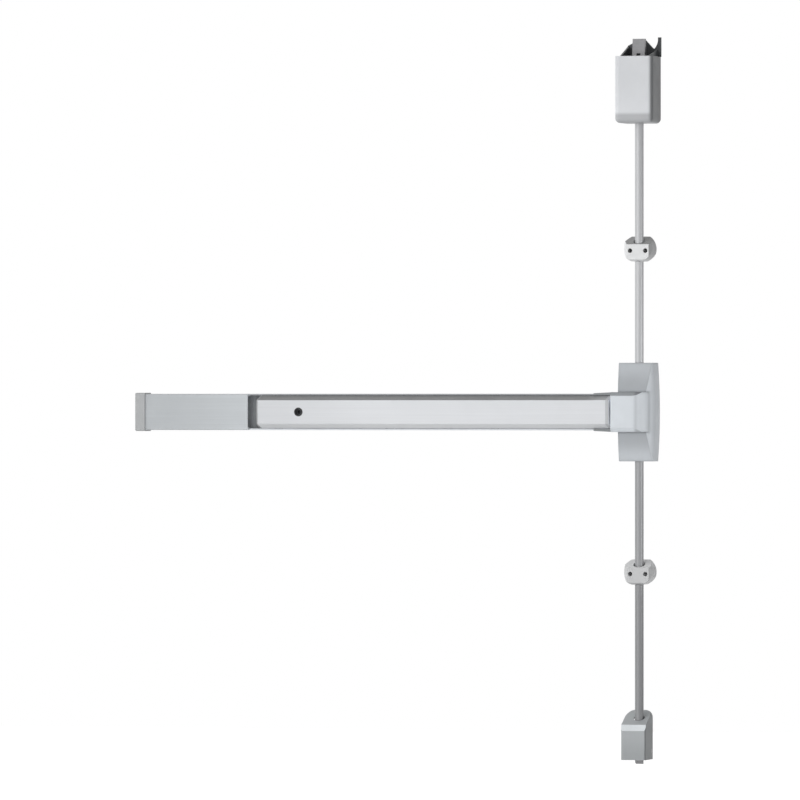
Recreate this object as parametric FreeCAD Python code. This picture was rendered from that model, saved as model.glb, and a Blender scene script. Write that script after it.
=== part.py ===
"""Surface vertical rod exit device for a door, in millimetres.

X runs along the bar towards the rods, Y runs into the door and Z is up. The door's face is the plane
y = 0, so the whole device has y below zero. The origin lies on the door's face, in the middle of the
four mounting holes of the centre case: x = 0 is the line of the rods, z = 0 the middle of the bar.
"""
import FreeCAD, Part
import math
import os

V = FreeCAD.Vector

# Rods and their line
rod_dia = 14.3
rod_depth = 26.0
running_fit = 0.1
sheet_gap = 0.3
seat_gap = 0.1
weld = 0.5
past = 1.0
tiny = 0.01
thread_r = 4.0
thread_length = 25.0
nut_height = 5.0
nut_flats = 14.0

# Small fasteners
rivet_r = 1.6
rivet_head_r = 3.0
rivet_head = 1.2
screw_r = 1.7
screw_head_r = 3.3
screw_head_depth = 1.6
screw_past = 4.0
pin_cap = 0.8
pin_cap_rim = 1.0
pivot_cap = 1.3
pivot_cap_rim = 1.5

# Linkage: every crank swings by the same angle to each side of its middle position
crank_swing = 18.0
pad_arm = 24.0
draw_arm = 14.0
lift_out_arm = 16.5
crank_depth = 24.0
pin_r = 2.2
slot_side_gap = 0.25
slot_end_gap = 0.15
crank_plate = 4.0
arm_wall = 1.9

# Channel that holds the push pad
channel_left = -853.0
channel_end_gap = 2.0
channel_height = 60.0
channel_depth = 32.0
channel_wall = 2.5

# Cover plate and end cap at the far end of the bar
cover_plate_right = -665.2
cover_plate_thick = 2.5
cover_leg_depth = 10.0
cover_leg_thick = 2.0
cover_edge_round = 1.5
end_cap_past = 6.4
end_cap_length = 17.0
end_cap_side = 1.75
end_cap_front = 2.5
end_cap_wall = 3.0
end_cap_round = 2.5
end_bracket_length = 52.0
end_bracket_height = 48.0
end_bracket_thick = 3.0
end_foot_depth = 28.0
end_screw_spacing = 24.0
end_screw_depth = 18.0
end_mount_inset = 34.0
end_mount_spacing = 28.0

# Push pad
pad_gap = 22.3
pad_end_gap = 2.5
pad_face_height = 40.0
pad_front = 60.0
pad_flank_rise = 1.0
pad_skirt_gap = 0.4
pad_web = 2.5
pad_skirt = 2.0
pad_foot = 1.0
pad_edge_round = 1.5
pad_cap_left_thick = 2.0
pad_cap_right_thick = 6.0
pad_cap_plug = 8.0
bumper_gap = 0.3
bumper_length = 14.0
bumper_height = 5.0
bumper_thick = 1.6
bumper_insets = ((22.9, 212.9), (206.7, 46.7))

# Cranks, their brackets and the lugs under the pad
crank_insets = ((122.9,), (106.7,))
bracket_thick = 2.5
bracket_length = 24.0
bracket_height = 44.0
bracket_ear_inside = 9.0
bracket_ear_r = 7.0
bracket_rim = 3.0
bracket_window_gap = 1.3
rivet_edge = 4.0
crank_pin_r = 3.0
crank_boss_r = 6.0
lug_inside = 5.0
lug_wall = 3.0
lug_end_r = 4.8
lug_base_thick = 2.5
lug_base_length = 24.0
lug_base_height = 28.0

# Draw bar: two straps, one above and one below the cranks
strap_inside = 2.3
strap_thick = 2.0
strap_depth = 10.0
strap_width = 7.2
strap_end = 6.0
draw_bar_right = 14.0
draw_screw_inset = 3.0
draw_screw_spacing = 6.0
spacer_insets = ((152.9, 307.9), (66.7,))
spacer_length = 10.0
spacer_inset = 1.0
guide_insets = ((312.9,), (56.7,))
guide_length = 10.0
guide_wall = 3.0
guide_gap = 0.25

# Dogging: a hook that a key turns under a catch to hold the pad in
dog_inset = 71.9
dog_hole_dia = 12.5
dog_spindle_r = 5.0
dog_recess = 5.0
dog_key_flats = 6.0
dog_key_depth = 9.0
dog_bushing_inset = 0.4
dog_bushing_length = 10.0
dog_flange_r = 9.0
dog_flange_thick = 2.0
dog_collar_r = 7.5
dog_collar_thick = 2.2
dog_hook_depth = 33.0
dog_hook_thick = 3.0
dog_hook_reach = 13.0
dog_hook_width = 7.0
dog_hook_disc_r = 6.0
catch_gap = 0.5
catch_side_gap = 1.0
catch_lip = 2.5
catch_length = 18.0
catch_width = 16.0

# Return springs between the channel and the pad
spring_insets = ((192.9,), (186.7,))
spring_offset = 12.0
spring_r = 5.0
spring_wire = 1.0
spring_post = 10.0

# Centre case
case_left = -31.5
case_right = 28.5
case_height = 161.6
case_bulge = 3.0
case_end_past = 12.5
case_mid_past = 20.0
case_wall = 2.5
case_round = 3.0
case_side_round = 20.0
nose_reach = 9.3
nose_right_inset = 5.9
nose_blend_run = 28.3
nose_side = 2.7
nose_past_pad = 2.0
nose_blend_depth = 34.0
nose_round = 3.0
nose_bevel = 6.0
base_end_gap = 0.6
base_thick = 2.5
base_tab_depth = 15.0
case_mount_x = 30.0
case_mount_z = 124.0
case_mount_r = 2.9
case_screw_places = (-15.0, 12.0)
case_screw_depth = 10.0
lift_crank_x = lift_out_arm
lift_crank_z = 30.0
lift_pin_r = 3.5
lift_shoulder_r = 5.0
lift_boss_r = 6.2
clip_thick = 0.8
clip_r = 5.6
clip_mouth = 4.0
groove_deep = 0.7
crank_web_share = 0.6
draw_head_thick = 3.0
draw_head_edge = 3.2
draw_neck_left = 2.0
draw_pin_past = 0.6
bushing_wall = 1.15
bushing_flange = 2.0
bushing_flange_rim = 0.65

# Flared adapter where the channel enters the nose of the centre case
adapter_length = 34.3
adapter_rise_left = 1.0
adapter_front = 2.5
adapter_bridge = 2.0
joint_plate_reach = 34.2
joint_plate_lap = 16.7
joint_plate_height = 40.0
joint_plate_thick = 2.5
joint_screw_z = 12.0
joint_screw_left_inset = 9.0
joint_screw_right_inset = 10.0

# Rod ends
clevis_width = 12.0
clevis_ear = 3.2
clevis_above_pin = 13.0
clevis_below_pin = 6.5
clevis_slot_above = 8.0
tang_thick = 6.0
tang_width = 10.0
tang_below_pin = 22.0
tang_collar = 6.0

# Rod guides
guide_left = -27.0
guide_right = 23.0
guide_height = 41.0
guide_past_rod = 12.0
guide_left_depth = 20.0
guide_right_depth = 29.0
guide_face_half = 18.5
guide_face_top = 7.5
guide_face_bottom = 17.5
guide_slope_back = 9.0
guide_chin_depth = 33.0
guide_bushing_wall = 0.8
guide_bushing_drop = 1.5
guide_round_r = 25.0
guide_chin_r = 27.0
guide_chin_rise = 5.0
guide_bore_r = 9.8
guide_hole_spacing = 25.6
guide_hole_drop = 3.0
guide_hole_r = 2.6
guide_counterbore_r = 3.7
guide_counterbore_floor = 14.0
upper_guide_z = 267.6
lower_guide_z = -262.4

# Top latch
top_case_left = -34.0
top_case_right = 30.0
top_case_past = 34.0
top_case_bottom = 473.5
top_case_height = 109.5
top_case_round = 8.0
top_case_wall = 2.2
top_screw_places = (-16.0, 14.0)
top_screw_depth = 14.0
top_plate_gap = 2.8
top_plate_thick = 3.0
top_back_left = 18.5
top_back_peak = ((-6.0, 28.0), (5.0, 28.0))
top_back_valley = ((17.5, 14.5), (20.0, 13.5))
top_horn_curve = (23.4, 18.5)
top_horn_left = 25.8
top_horn_right = 31.2
top_horn_rise = 32.0
top_side_gap = 3.8
top_side_rise = 1.0
top_shoulder_rise = 9.0
top_post_depth = 9.0
top_mount_x = 30.0
top_mount_z = 50.0
top_mount_above = 46.5
latch_hole_r = 2.6
bolt_pivot_depth = 10.0
bolt_pivot_drop = 8.0
bolt_pin_r = 3.5
bolt_hub_r = 6.5
bolt_half = 10.5
bolt_arm_half = 5.0
bolt_front = (-23.0, 3.0)
bolt_tip_front = -19.0
bolt_tip_back = -12.5
bolt_tip_height = 37.0
bolt_throat_top = (-12.0, 18.0)
bolt_throat_curve = (-8.5, 9.6)
bolt_heel = (0.0, -4.0)
bolt_chin = (-14.0, -2.0)
bolt_room_back = 7.1
bolt_floor = 13.0

# Bottom latch
low_case_left = -25.0
low_case_right = 16.5
low_case_past = 26.0
low_case_top = -489.0
low_case_height = 81.0
low_case_drop = 23.0
low_case_edge_depth = 48.0
low_case_corner = 12.0
low_case_edge_height = 10.0
low_case_round = 3.0
low_case_wall = 2.2
low_screw_depth = 8.0
low_rod_hole_r = 9.0
low_plate_gap = 0.8
low_plate_inset = 4.0
low_block_half = 11.0
low_block_height = 20.0
low_mount_x = 25.0
low_mount_z = 32.0
low_mount_across = -2.0
low_mount_drop = 32.0
low_mount_r = 2.2
low_bolt_r = 7.0
low_bolt_reach = 7.0
low_bolt_length = 38.0
low_slope_back = 2.8
low_slope_height = 9.1

# Linkage sizes that follow from the ones above
rod_r = rod_dia / 2
swing_tan = math.tan(math.radians(crank_swing))
lift_in_arm = draw_arm
pad_travel = 2 * pad_arm * swing_tan
draw_travel = 2 * draw_arm * swing_tan
rod_travel = 2 * lift_out_arm * swing_tan
bolt_arm = rod_depth - bolt_pivot_depth
bolt_swing = math.degrees(math.atan(rod_travel / 2 / bolt_arm))
slot_half = pin_r + slot_side_gap
plate_half = crank_plate / 2
draw_pin_shift = draw_travel / 2
upper_pin_z = lift_crank_z + rod_travel / 2

# Case sizes and places that follow
half_channel = channel_height / 2
channel_inside = half_channel - channel_wall
channel_right = case_left - channel_end_gap
end_cap_left = channel_left - end_cap_past
end_cap_right = end_cap_left + end_cap_length
end_cap_height = channel_height + 2 * end_cap_side
end_cap_depth = channel_depth + cover_plate_thick + end_cap_front
half_case = case_height / 2
case_end_depth = rod_depth + case_end_past
case_mid_depth = rod_depth + case_mid_past
nose_left = case_left - nose_reach
nose_right = case_right - nose_right_inset
nose_flat_right = nose_right - nose_blend_run
nose_height = channel_height + 2 * nose_side
nose_front = pad_front + nose_past_pad
base_left = case_left + case_wall + sheet_gap
base_right = case_right - case_bulge - case_wall - sheet_gap
base_height = case_height - 2 * (case_wall + base_end_gap)
bushing_r = rod_r + running_fit + bushing_wall
bushing_flange_r = bushing_r + bushing_flange_rim
adapter_left = nose_left - adapter_length
joint_plate_left = nose_left - joint_plate_reach
joint_plate_right = base_left + joint_plate_lap
joint_screw_left = joint_plate_left + joint_screw_left_inset
joint_screw_right = joint_plate_right - joint_screw_right_inset
guide_depth = rod_depth + guide_past_rod
top_case_depth = rod_depth + top_case_past
top_case_top = top_case_bottom + top_case_height
top_plate_half = top_case_right - top_case_wall - top_plate_gap
top_side_depth = top_case_depth - top_case_wall - top_side_gap
top_mount_middle = top_case_bottom + top_mount_above
bolt_pivot_z = top_case_top - bolt_pivot_drop
bolt_pin_z = bolt_pivot_z + rod_travel / 2
low_case_depth = rod_depth + low_case_past
low_case_bottom = low_case_top - low_case_height
low_plate_left = low_case_left + low_case_wall + low_plate_gap
low_plate_right = low_case_right - low_case_wall - low_plate_gap

# Pad sizes that follow, and what is placed from the pad's ends
pad_half = channel_inside - pad_skirt_gap
pad_left = cover_plate_right + pad_gap
pad_right = nose_left - pad_end_gap
pad_flank_depth = channel_depth + pad_flank_rise
pad_skirt_depth = channel_wall + bumper_thick + bumper_gap + pad_travel
dog_x = pad_left + dog_inset


def pad_places(from_left, from_right):
    """Places along the bar, measured inwards from the pad's two ends."""
    return [pad_left + inset for inset in from_left] + [pad_right - inset for inset in from_right]


crank_places = pad_places(*crank_insets)
bumper_places = pad_places(*bumper_insets)
spacer_places = pad_places(*spacer_insets)
guide_places = pad_places(*guide_insets)
spring_places = pad_places(*spring_insets)


def box(x0, x1, y0, y1, z0, z1):
    """A box between two limits on each axis."""
    return Part.makeBox(x1 - x0, y1 - y0, z1 - z0, V(x0, y0, z0))


def bar(start, end, radius):
    """A round bar between two points."""
    line = end - start
    return Part.makeCylinder(radius, line.Length, start, line)


def bar_y(x, z, y0, y1, radius):
    """A round bar along Y."""
    return bar(V(x, y0, z), V(x, y1, z), radius)


def bar_z(x, y, z0, z1, radius):
    """A round bar along Z."""
    return bar(V(x, y, z0), V(x, y, z1), radius)


def on_x(x):
    """Outline points are (y, z) in the plane at x."""
    return lambda u, v: V(x, u, v)


def on_y(y):
    """Outline points are (x, z) in the plane at y."""
    return lambda u, v: V(u, y, v)


def on_z(z):
    """Outline points are (x, y) in the plane at z."""
    return lambda u, v: V(u, v, z)


def outline(place, start, *steps):
    """A face. A step (u, v) goes straight, a step (mid_u, mid_v, u, v) goes round by an arc."""
    edges = []
    here = place(*start)
    for step in list(steps) + [start]:
        there = place(*step[-2:])
        if len(step) == 4:
            edges.append(Part.Arc(here, place(*step[:2]), there).toShape())
        elif there.distanceToPoint(here) > 1e-6:
            edges.append(Part.LineSegment(here, there).toShape())
        here = there
    return Part.Face(Part.Wire(edges))


def stadium(place, start, end, radius):
    """A flat shape with round ends, from one centre to another."""
    along = FreeCAD.Base.Vector2d(end[0] - start[0], end[1] - start[1])
    length = math.hypot(along.x, along.y)
    ux, uy = along.x / length * radius, along.y / length * radius
    return outline(
        place,
        (start[0] - uy, start[1] + ux),
        (start[0] - ux, start[1] - uy, start[0] + uy, start[1] - ux),
        (end[0] + uy, end[1] - ux),
        (end[0] + ux, end[1] + uy, end[0] - uy, end[1] + ux),
    )


def hexagon(place, x, v, flats):
    """A six-sided face round a centre."""
    radius = flats / math.sqrt(3)
    turns = [math.radians(60 * k) for k in range(6)]
    return outline(place, *[(x + radius * math.cos(a), v + radius * math.sin(a)) for a in turns])


def countersunk(start, way, length):
    """A screw whose flat head is flush with its start."""
    head = Part.makeCone(screw_head_r, screw_r, screw_head_depth, start, way)
    return head.fuse(bar(start, start + way * length, screw_r))


def capped_pin(start, end, radius, cap, rim):
    """A pin with a flat cap past each end."""
    step = (end - start) * (cap / (end - start).Length)
    low = bar(start - step, start, radius + rim)
    high = bar(end, end + step, radius + rim)
    return joined([bar(start - step, end + step, radius), low, high])


def front_rim(block, depth):
    """Edges of a block that lie in front of a depth."""
    return [edge for edge in block.Edges if edge.BoundBox.YMax < -depth]


def lengthwise(edges):
    """Those edges that run along the bar."""
    return [edge for edge in edges if edge.BoundBox.XLength > tiny]


def four_holes(x, z, spacing_x, spacing_z, thick, radius):
    """Cutters for a plate's four mounting holes round a middle."""
    return [
        bar_y(x + side * spacing_x / 2, z + level * spacing_z / 2, -thick - past, past, radius)
        for side in (1, -1)
        for level in (1, -1)
    ]


def mirror_z(shape):
    """The same piece below the bar's middle."""
    return shape.mirror(V(0, 0, 0), V(0, 0, 1))


def with_mirror(shape):
    """A piece and its twin below the bar's middle, as two solids."""
    return Part.makeCompound([shape, mirror_z(shape)])


def joined(pieces):
    """One solid out of pieces that meet."""
    first = pieces[0].fuse(pieces[1:]) if len(pieces) > 1 else pieces[0]
    return first.removeSplitter()


def save(name, shape):
    """Writes one node."""
    shape.exportStep("parts/" + name + ".step")


# Bar, fixed pieces


def end_mount_holes():
    x = channel_left + end_mount_inset
    half = end_mount_spacing / 2
    return [bar_y(x, z, -end_foot_depth, past, case_mount_r) for z in (half, -half)]


def rivet_places():
    across = bracket_length / 2 - rivet_head_r
    up = bracket_height / 2 - rivet_edge
    return [
        (x + dx * across, side * up)
        for x in crank_places
        for dx in (1, -1)
        for side in (1, -1)
    ]


def channel():
    outer = box(channel_left, channel_right, -channel_depth, 0, -half_channel, half_channel)
    inner = box(
        channel_left - past,
        channel_right + past,
        -channel_depth - past,
        -channel_wall,
        -channel_inside,
        channel_inside,
    )
    rivets = [bar_y(x, z, -channel_wall - past, past, rivet_r) for x, z in rivet_places()]
    return outer.cut([inner] + end_mount_holes() + rivets + joint_screw_holes(joint_screw_left))


def cover_plate():
    left = channel_left + sheet_gap
    front = -channel_depth - cover_plate_thick
    web = box(left, cover_plate_right, front, -channel_depth, -half_channel, half_channel)
    web = web.makeFillet(cover_edge_round, lengthwise(front_rim(web, channel_depth)))
    outside = channel_inside - sheet_gap
    leg = box(
        left,
        cover_plate_right,
        -channel_depth - weld,
        -channel_depth + cover_leg_depth,
        outside - cover_leg_thick,
        outside,
    )
    return joined([web, leg, mirror_z(leg)])


def end_cap():
    half = end_cap_height / 2
    outer = box(end_cap_left, end_cap_right, -end_cap_depth, 0, -half, half)
    rounded = lengthwise(front_rim(outer, end_cap_depth - end_cap_wall))
    for edge in outer.Edges:
        on_end = edge.BoundBox.XMax < end_cap_left + tiny
        if on_end and edge.BoundBox.YMin < -tiny:
            rounded.append(edge)
    outer = outer.makeFillet(end_cap_round, rounded)
    cavity = box(
        end_cap_left + end_cap_wall,
        end_cap_right + past,
        -channel_depth - cover_plate_thick - seat_gap,
        past,
        -half_channel - seat_gap,
        half_channel + seat_gap,
    )
    return outer.cut([cavity] + end_screw_list())


def end_screw_list():
    """Countersunk screws through the end cap into the foot of the end bracket."""
    length = end_cap_wall + end_bracket_thick + screw_past
    half = end_screw_spacing / 2
    return [
        countersunk(V(end_cap_left, -end_screw_depth, z), V(1, 0, 0), length) for z in (half, -half)
    ]


def end_bracket():
    left = end_cap_left + end_cap_wall + seat_gap
    half = end_bracket_height / 2
    back = -channel_wall
    plate = box(left, left + end_bracket_length, back - end_bracket_thick, back, -half, half)
    foot = box(left, left + end_bracket_thick, -end_foot_depth, back, -half, half)
    return joined([plate, foot]).cut(end_mount_holes() + end_screw_list())


def head_adapter():
    """Flared frame round the channel where it enters the nose."""
    right = nose_left - seat_gap
    foot = half_channel + seat_gap / 2
    half_nose = nose_height / 2
    front = -channel_depth - adapter_front
    wedge = outline(
        on_y(front),
        (adapter_left, foot - channel_wall),
        (right, foot - channel_wall),
        (right, half_nose),
        (adapter_left, foot + adapter_rise_left),
    ).extrude(V(0, -front, 0))
    inside = -channel_depth - seat_gap / 2
    channel_room = box(adapter_left - past, right + past, inside, past, -foot, foot)
    bridge = box(right - adapter_bridge, right, front, inside, -half_nose, half_nose)
    return joined([wedge.cut(channel_room), mirror_z(wedge).cut(channel_room), bridge])


def joint_screws():
    """Screws that hold the joint plate to the channel and to the centre base plate."""
    front = -channel_wall - joint_plate_thick
    return [
        bar_y(x, side * joint_screw_z, front, 0, rivet_r).fuse(
            bar_y(x, side * joint_screw_z, front - rivet_head, front, rivet_head_r)
        )
        for x in (joint_screw_left, joint_screw_right)
        for side in (1, -1)
    ]


def joint_screw_holes(x):
    sides = (joint_screw_z, -joint_screw_z)
    return [bar_y(x, z, -channel_wall - past, past, rivet_r) for z in sides]


def joint_plate():
    half = joint_plate_height / 2
    front = -channel_wall - joint_plate_thick
    plate = box(joint_plate_left, joint_plate_right, front, -channel_wall, -half, half)
    return plate.cut(joint_screws())


def crank_bracket(x):
    back = -channel_wall
    front = back - bracket_thick
    half = bracket_height / 2
    length = bracket_length / 2
    plate = box(x - length, x + length, front, back, -half, half)
    window_x = length - bracket_rim
    window_z = plate_half + bracket_window_gap
    window = box(x - window_x, x + window_x, front - past, back + past, -window_z, window_z)
    ear_shape = outline(
        on_z(bracket_ear_inside),
        (x - bracket_ear_r, back - weld),
        (x - bracket_ear_r, -crank_depth),
        (x, -crank_depth - bracket_ear_r, x + bracket_ear_r, -crank_depth),
        (x + bracket_ear_r, back - weld),
    ).extrude(V(0, 0, bracket_thick))
    body = joined([plate.cut(window), ear_shape, mirror_z(ear_shape)])
    pin_hole = bar_z(x, -crank_depth, -half, half, crank_pin_r)
    rivets = [bar_y(rx, rz, front - past, past, rivet_r) for rx, rz in rivet_places()]
    return body.cut([pin_hole] + rivets)


def bracket_rivets():
    front = -channel_wall - bracket_thick
    rivets = []
    for x, z in rivet_places():
        shank = bar_y(x, z, front, 0, rivet_r)
        rivets.append(shank.fuse(bar_y(x, z, front - rivet_head, front, rivet_head_r)))
    return Part.makeCompound(rivets)


def crank_pivot_pins():
    top = bracket_ear_inside + bracket_thick
    pins = []
    for x in crank_places:
        low = V(x, -crank_depth, -top)
        high = V(x, -crank_depth, top)
        pins.append(capped_pin(low, high, crank_pin_r, pivot_cap, pivot_cap_rim))
    return Part.makeCompound(pins)


def draw_bar_guides():
    inside_z = strap_inside + strap_thick + guide_gap
    near = -strap_depth + strap_width / 2 + guide_gap
    far = -strap_depth - strap_width / 2 - guide_gap
    guides = []
    for x in guide_places:
        outer = box(
            x - guide_length / 2,
            x + guide_length / 2,
            far - guide_wall,
            -channel_wall,
            -inside_z - guide_wall,
            inside_z + guide_wall,
        )
        inner = box(x - guide_length, x + guide_length, far, near, -inside_z, inside_z)
        guides.append(outer.cut(inner))
    return Part.makeCompound(guides)


def pad_bumpers():
    back = -channel_wall
    front = back - bumper_thick
    blocks = []
    for x in bumper_places:
        blocks.append(
            box(
                x - bumper_length / 2,
                x + bumper_length / 2,
                front,
                back,
                channel_inside - bumper_height,
                channel_inside,
            )
        )
    return Part.makeCompound(blocks + [mirror_z(block) for block in blocks])


def spring_spots():
    return [(x, side * spring_offset) for x in spring_places for side in (1, -1)]


def return_springs():
    springs = []
    for x, z in spring_spots():
        outer = bar_y(x, z, -pad_front + pad_web, -channel_wall, spring_r)
        springs.append(outer.cut(bar_y(x, z, -pad_front, 0, spring_r - spring_wire)))
    return Part.makeCompound(springs)


def spring_posts():
    radius = spring_r - spring_wire - sheet_gap
    return Part.makeCompound(
        [bar_y(x, z, -channel_wall - spring_post, -channel_wall, radius) for x, z in spring_spots()]
    )


def dogging_catch():
    hook_back = -dog_hook_depth - dog_hook_thick + pad_travel
    lip_back = hook_back - catch_gap
    riser_right = dog_x - dog_hook_reach - catch_side_gap
    lip_right = dog_x - dog_hook_disc_r - catch_side_gap
    riser_left = riser_right - catch_lip
    half = catch_width / 2
    back = -channel_wall
    base = box(riser_right - catch_length, riser_right, back - catch_lip, back, -half, half)
    riser = box(riser_left, riser_right, lip_back - catch_lip, back, -half, half)
    lip = box(riser_left, lip_right, lip_back - catch_lip, lip_back, -half, half)
    return joined([base, riser, lip])


# Push pad and what it carries


def pad_section(x, shrink):
    """The pad's closed outline, drawn inwards by a wall."""
    web = pad_web if shrink else 0.0
    skirt = pad_skirt if shrink else 0.0
    end = pad_foot if shrink else 0.0
    face = pad_face_height / 2 - skirt
    wide = pad_half - skirt
    return outline(
        on_x(x),
        (-pad_front + web, face),
        (-pad_flank_depth, wide),
        (-pad_skirt_depth + end, wide),
        (-pad_skirt_depth + end, -wide),
        (-pad_flank_depth, -wide),
        (-pad_front + web, -face),
    )


def push_pad():
    left = pad_left + pad_cap_left_thick
    length = pad_right - pad_cap_right_thick - left
    outer = pad_section(left, False).extrude(V(length, 0, 0))
    outer = outer.makeFillet(pad_edge_round, lengthwise(front_rim(outer, pad_front - pad_web)))
    inner = pad_section(left - past, True).extrude(V(length + 2 * past, 0, 0))
    key_hole = bar_y(dog_x, 0, -pad_front - past, -pad_front + pad_web + past, dog_hole_dia / 2)
    return outer.cut([inner, key_hole])


def pad_end_cap(end_x, inward):
    """A plate over the pad's end with a plug inside it."""
    thick = pad_cap_left_thick if inward > 0 else pad_cap_right_thick
    plate = pad_section(end_x, False).extrude(V(inward * thick, 0, 0))
    plate = plate.makeFillet(pad_edge_round, lengthwise(front_rim(plate, pad_front - pad_web)))
    plug = pad_section(end_x, True).extrude(V(inward * (thick + pad_cap_plug), 0, 0))
    ends = sorted([end_x + inward * thick, end_x + inward * (2 * pad_cap_plug)])
    half = pad_face_height / 2 - 2 * pad_skirt
    hollow = box(ends[0], ends[1], -pad_front + pad_web + pad_skirt, 0, -half, half)
    reach = 2 * pad_cap_plug
    under = box(end_x - reach, end_x + reach, -pad_flank_depth, past, -half_channel, half_channel)
    return joined([plate, plug.cut(hollow)]).cut(under)


def lug_pin_place(x):
    """The lug pin's x, and its y at rest."""
    return x - pad_arm, -crank_depth - pad_travel / 2


def pad_lug(x):
    pin_x, pin_y = lug_pin_place(x)
    top = -pad_front + pad_web
    half = lug_base_length / 2
    base = box(
        pin_x - half, pin_x + half, top, top + lug_base_thick, -lug_base_height / 2, lug_base_height / 2
    )
    ear = outline(
        on_z(lug_inside),
        (pin_x - lug_end_r, top + weld),
        (pin_x + lug_end_r, top + weld),
        (pin_x + lug_end_r, pin_y),
        (pin_x, pin_y + lug_end_r, pin_x - lug_end_r, pin_y),
    ).extrude(V(0, 0, lug_wall))
    body = joined([base, ear, mirror_z(ear)])
    return body.cut(bar_z(pin_x, pin_y, -lug_base_height, lug_base_height, pin_r))


def pad_lug_pins():
    reach = lug_inside + lug_wall
    pins = []
    for x in crank_places:
        pin_x, pin_y = lug_pin_place(x)
        low = V(pin_x, pin_y, -reach)
        high = V(pin_x, pin_y, reach)
        pins.append(capped_pin(low, high, pin_r, pin_cap, pin_cap_rim))
    return Part.makeCompound(pins)


def dogging_bushing():
    front = -pad_front + dog_bushing_inset
    inside = -pad_front + pad_web
    back = front + dog_bushing_length
    tube = bar_y(dog_x, 0, front, back, dog_hole_dia / 2 - running_fit)
    flange = bar_y(dog_x, 0, inside, inside + dog_flange_thick, dog_flange_r)
    bore = bar_y(dog_x, 0, front - past, back + past, dog_spindle_r + running_fit)
    return tube.fuse(flange).cut(bore).removeSplitter()


def dogging_spindle():
    top = -pad_front + dog_recess
    collar = -pad_front + dog_bushing_inset + dog_bushing_length + sheet_gap
    hook = -dog_hook_depth - dog_hook_thick
    shaft = bar_y(dog_x, 0, top, hook + weld, dog_spindle_r)
    ring = bar_y(dog_x, 0, collar, collar + dog_collar_thick, dog_collar_r)
    disc = bar_y(dog_x, 0, hook, hook + dog_hook_thick, dog_hook_disc_r)
    arm = stadium(
        on_y(hook),
        (dog_x, 0),
        (dog_x, -dog_hook_reach + dog_hook_width / 2),
        dog_hook_width / 2,
    ).extrude(V(0, dog_hook_thick, 0))
    key = hexagon(on_y(top - past), dog_x, 0, dog_key_flats)
    socket = key.extrude(V(0, dog_key_depth + past, 0))
    return joined([shaft, ring, disc, arm]).cut(socket)


# Cranks and draw bar


def crank_arm(place, end, reach):
    """Flat arm from the pivot at the origin with a slot for a pin at its end."""
    longest = reach / math.cos(math.radians(crank_swing))
    middle = (reach + longest) / 2
    body = stadium(place, (0, 0), (end[0] * middle, end[1] * middle), slot_half + arm_wall)
    near = reach - slot_end_gap
    far = longest + slot_end_gap
    slot = stadium(place, (end[0] * near, end[1] * near), (end[0] * far, end[1] * far), slot_half)
    return body, slot


def bell_crank(x):
    """Turns the pad's push into a pull along the draw bar."""
    place = on_z(-plate_half)
    pad_side, pad_slot = crank_arm(place, (-1, 0), pad_arm)
    bar_side, bar_slot = crank_arm(place, (0, 1), draw_arm)
    lift = V(0, 0, crank_plate)
    side = draw_arm * crank_web_share
    web = outline(place, (0, 0), (-side, 0), (0, side)).extrude(lift)
    boss_half = bracket_ear_inside - sheet_gap
    boss = bar_z(0, 0, -boss_half, boss_half, crank_boss_r)
    body = joined([boss, pad_side.extrude(lift), bar_side.extrude(lift), web])
    bore = bar_z(0, 0, -boss_half - past, boss_half + past, crank_pin_r + running_fit / 2)
    body = body.cut([pad_slot.extrude(lift), bar_slot.extrude(lift), bore])
    body.rotate(V(0, 0, 0), V(0, 0, 1), crank_swing)
    body.translate(V(x, -crank_depth, 0))
    return body


def draw_pin_places():
    return [x - draw_pin_shift for x in crank_places]


def head_pin_x():
    return lift_crank_x - draw_pin_shift


def draw_bar():
    left = draw_pin_places()[0] - strap_end
    near = -strap_depth + strap_width / 2
    far = -strap_depth - strap_width / 2
    strap = box(left, draw_bar_right, far, near, strap_inside, strap_inside + strap_thick)
    across = strap_inside + weld
    spacers = [
        box(x, x + spacer_length, far + spacer_inset, near - spacer_inset, -across, across)
        for x in spacer_places
    ]
    body = joined([strap, mirror_z(strap)] + spacers)
    return body.cut(draw_pins())


def draw_pin_list():
    """Place and radius of the pins through the straps: one at each crank, two at the draw head."""
    last = draw_bar_right - draw_screw_inset
    places = [(x, pin_r) for x in draw_pin_places()]
    return places + [(last - draw_screw_spacing, rivet_r), (last, rivet_r)]


def draw_pins():
    outside = strap_inside + strap_thick
    return [bar_z(x, -strap_depth, -outside, outside, radius) for x, radius in draw_pin_list()]


def draw_bar_pins():
    """The same pins with their caps."""
    outside = strap_inside + strap_thick
    pins = []
    for x, radius in draw_pin_list():
        low = V(x, -strap_depth, -outside)
        high = V(x, -strap_depth, outside)
        pins.append(capped_pin(low, high, radius, pin_cap, pin_cap_rim))
    return Part.makeCompound(pins)


def draw_head():
    """Upright yoke at the end of the draw bar, with a pin for each lift crank."""
    x = head_pin_x()
    back = -rod_depth + plate_half + sheet_gap
    pin_z = lift_crank_z - lift_in_arm
    plate = stadium(on_y(back), (x, pin_z), (x, -pin_z), draw_head_edge)
    plate = plate.extrude(V(0, draw_head_thick, 0))
    inside = strap_inside - seat_gap / 2
    near = -strap_depth + strap_width / 2
    neck = box(draw_neck_left, x + draw_head_edge, back + weld, near, -inside, inside)
    front = -rod_depth - plate_half - draw_pin_past
    pins = [bar_y(x, z, front, back + weld, pin_r) for z in (pin_z, -pin_z)]
    return joined([plate, neck] + pins).cut(draw_pins())


# Centre case


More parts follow.
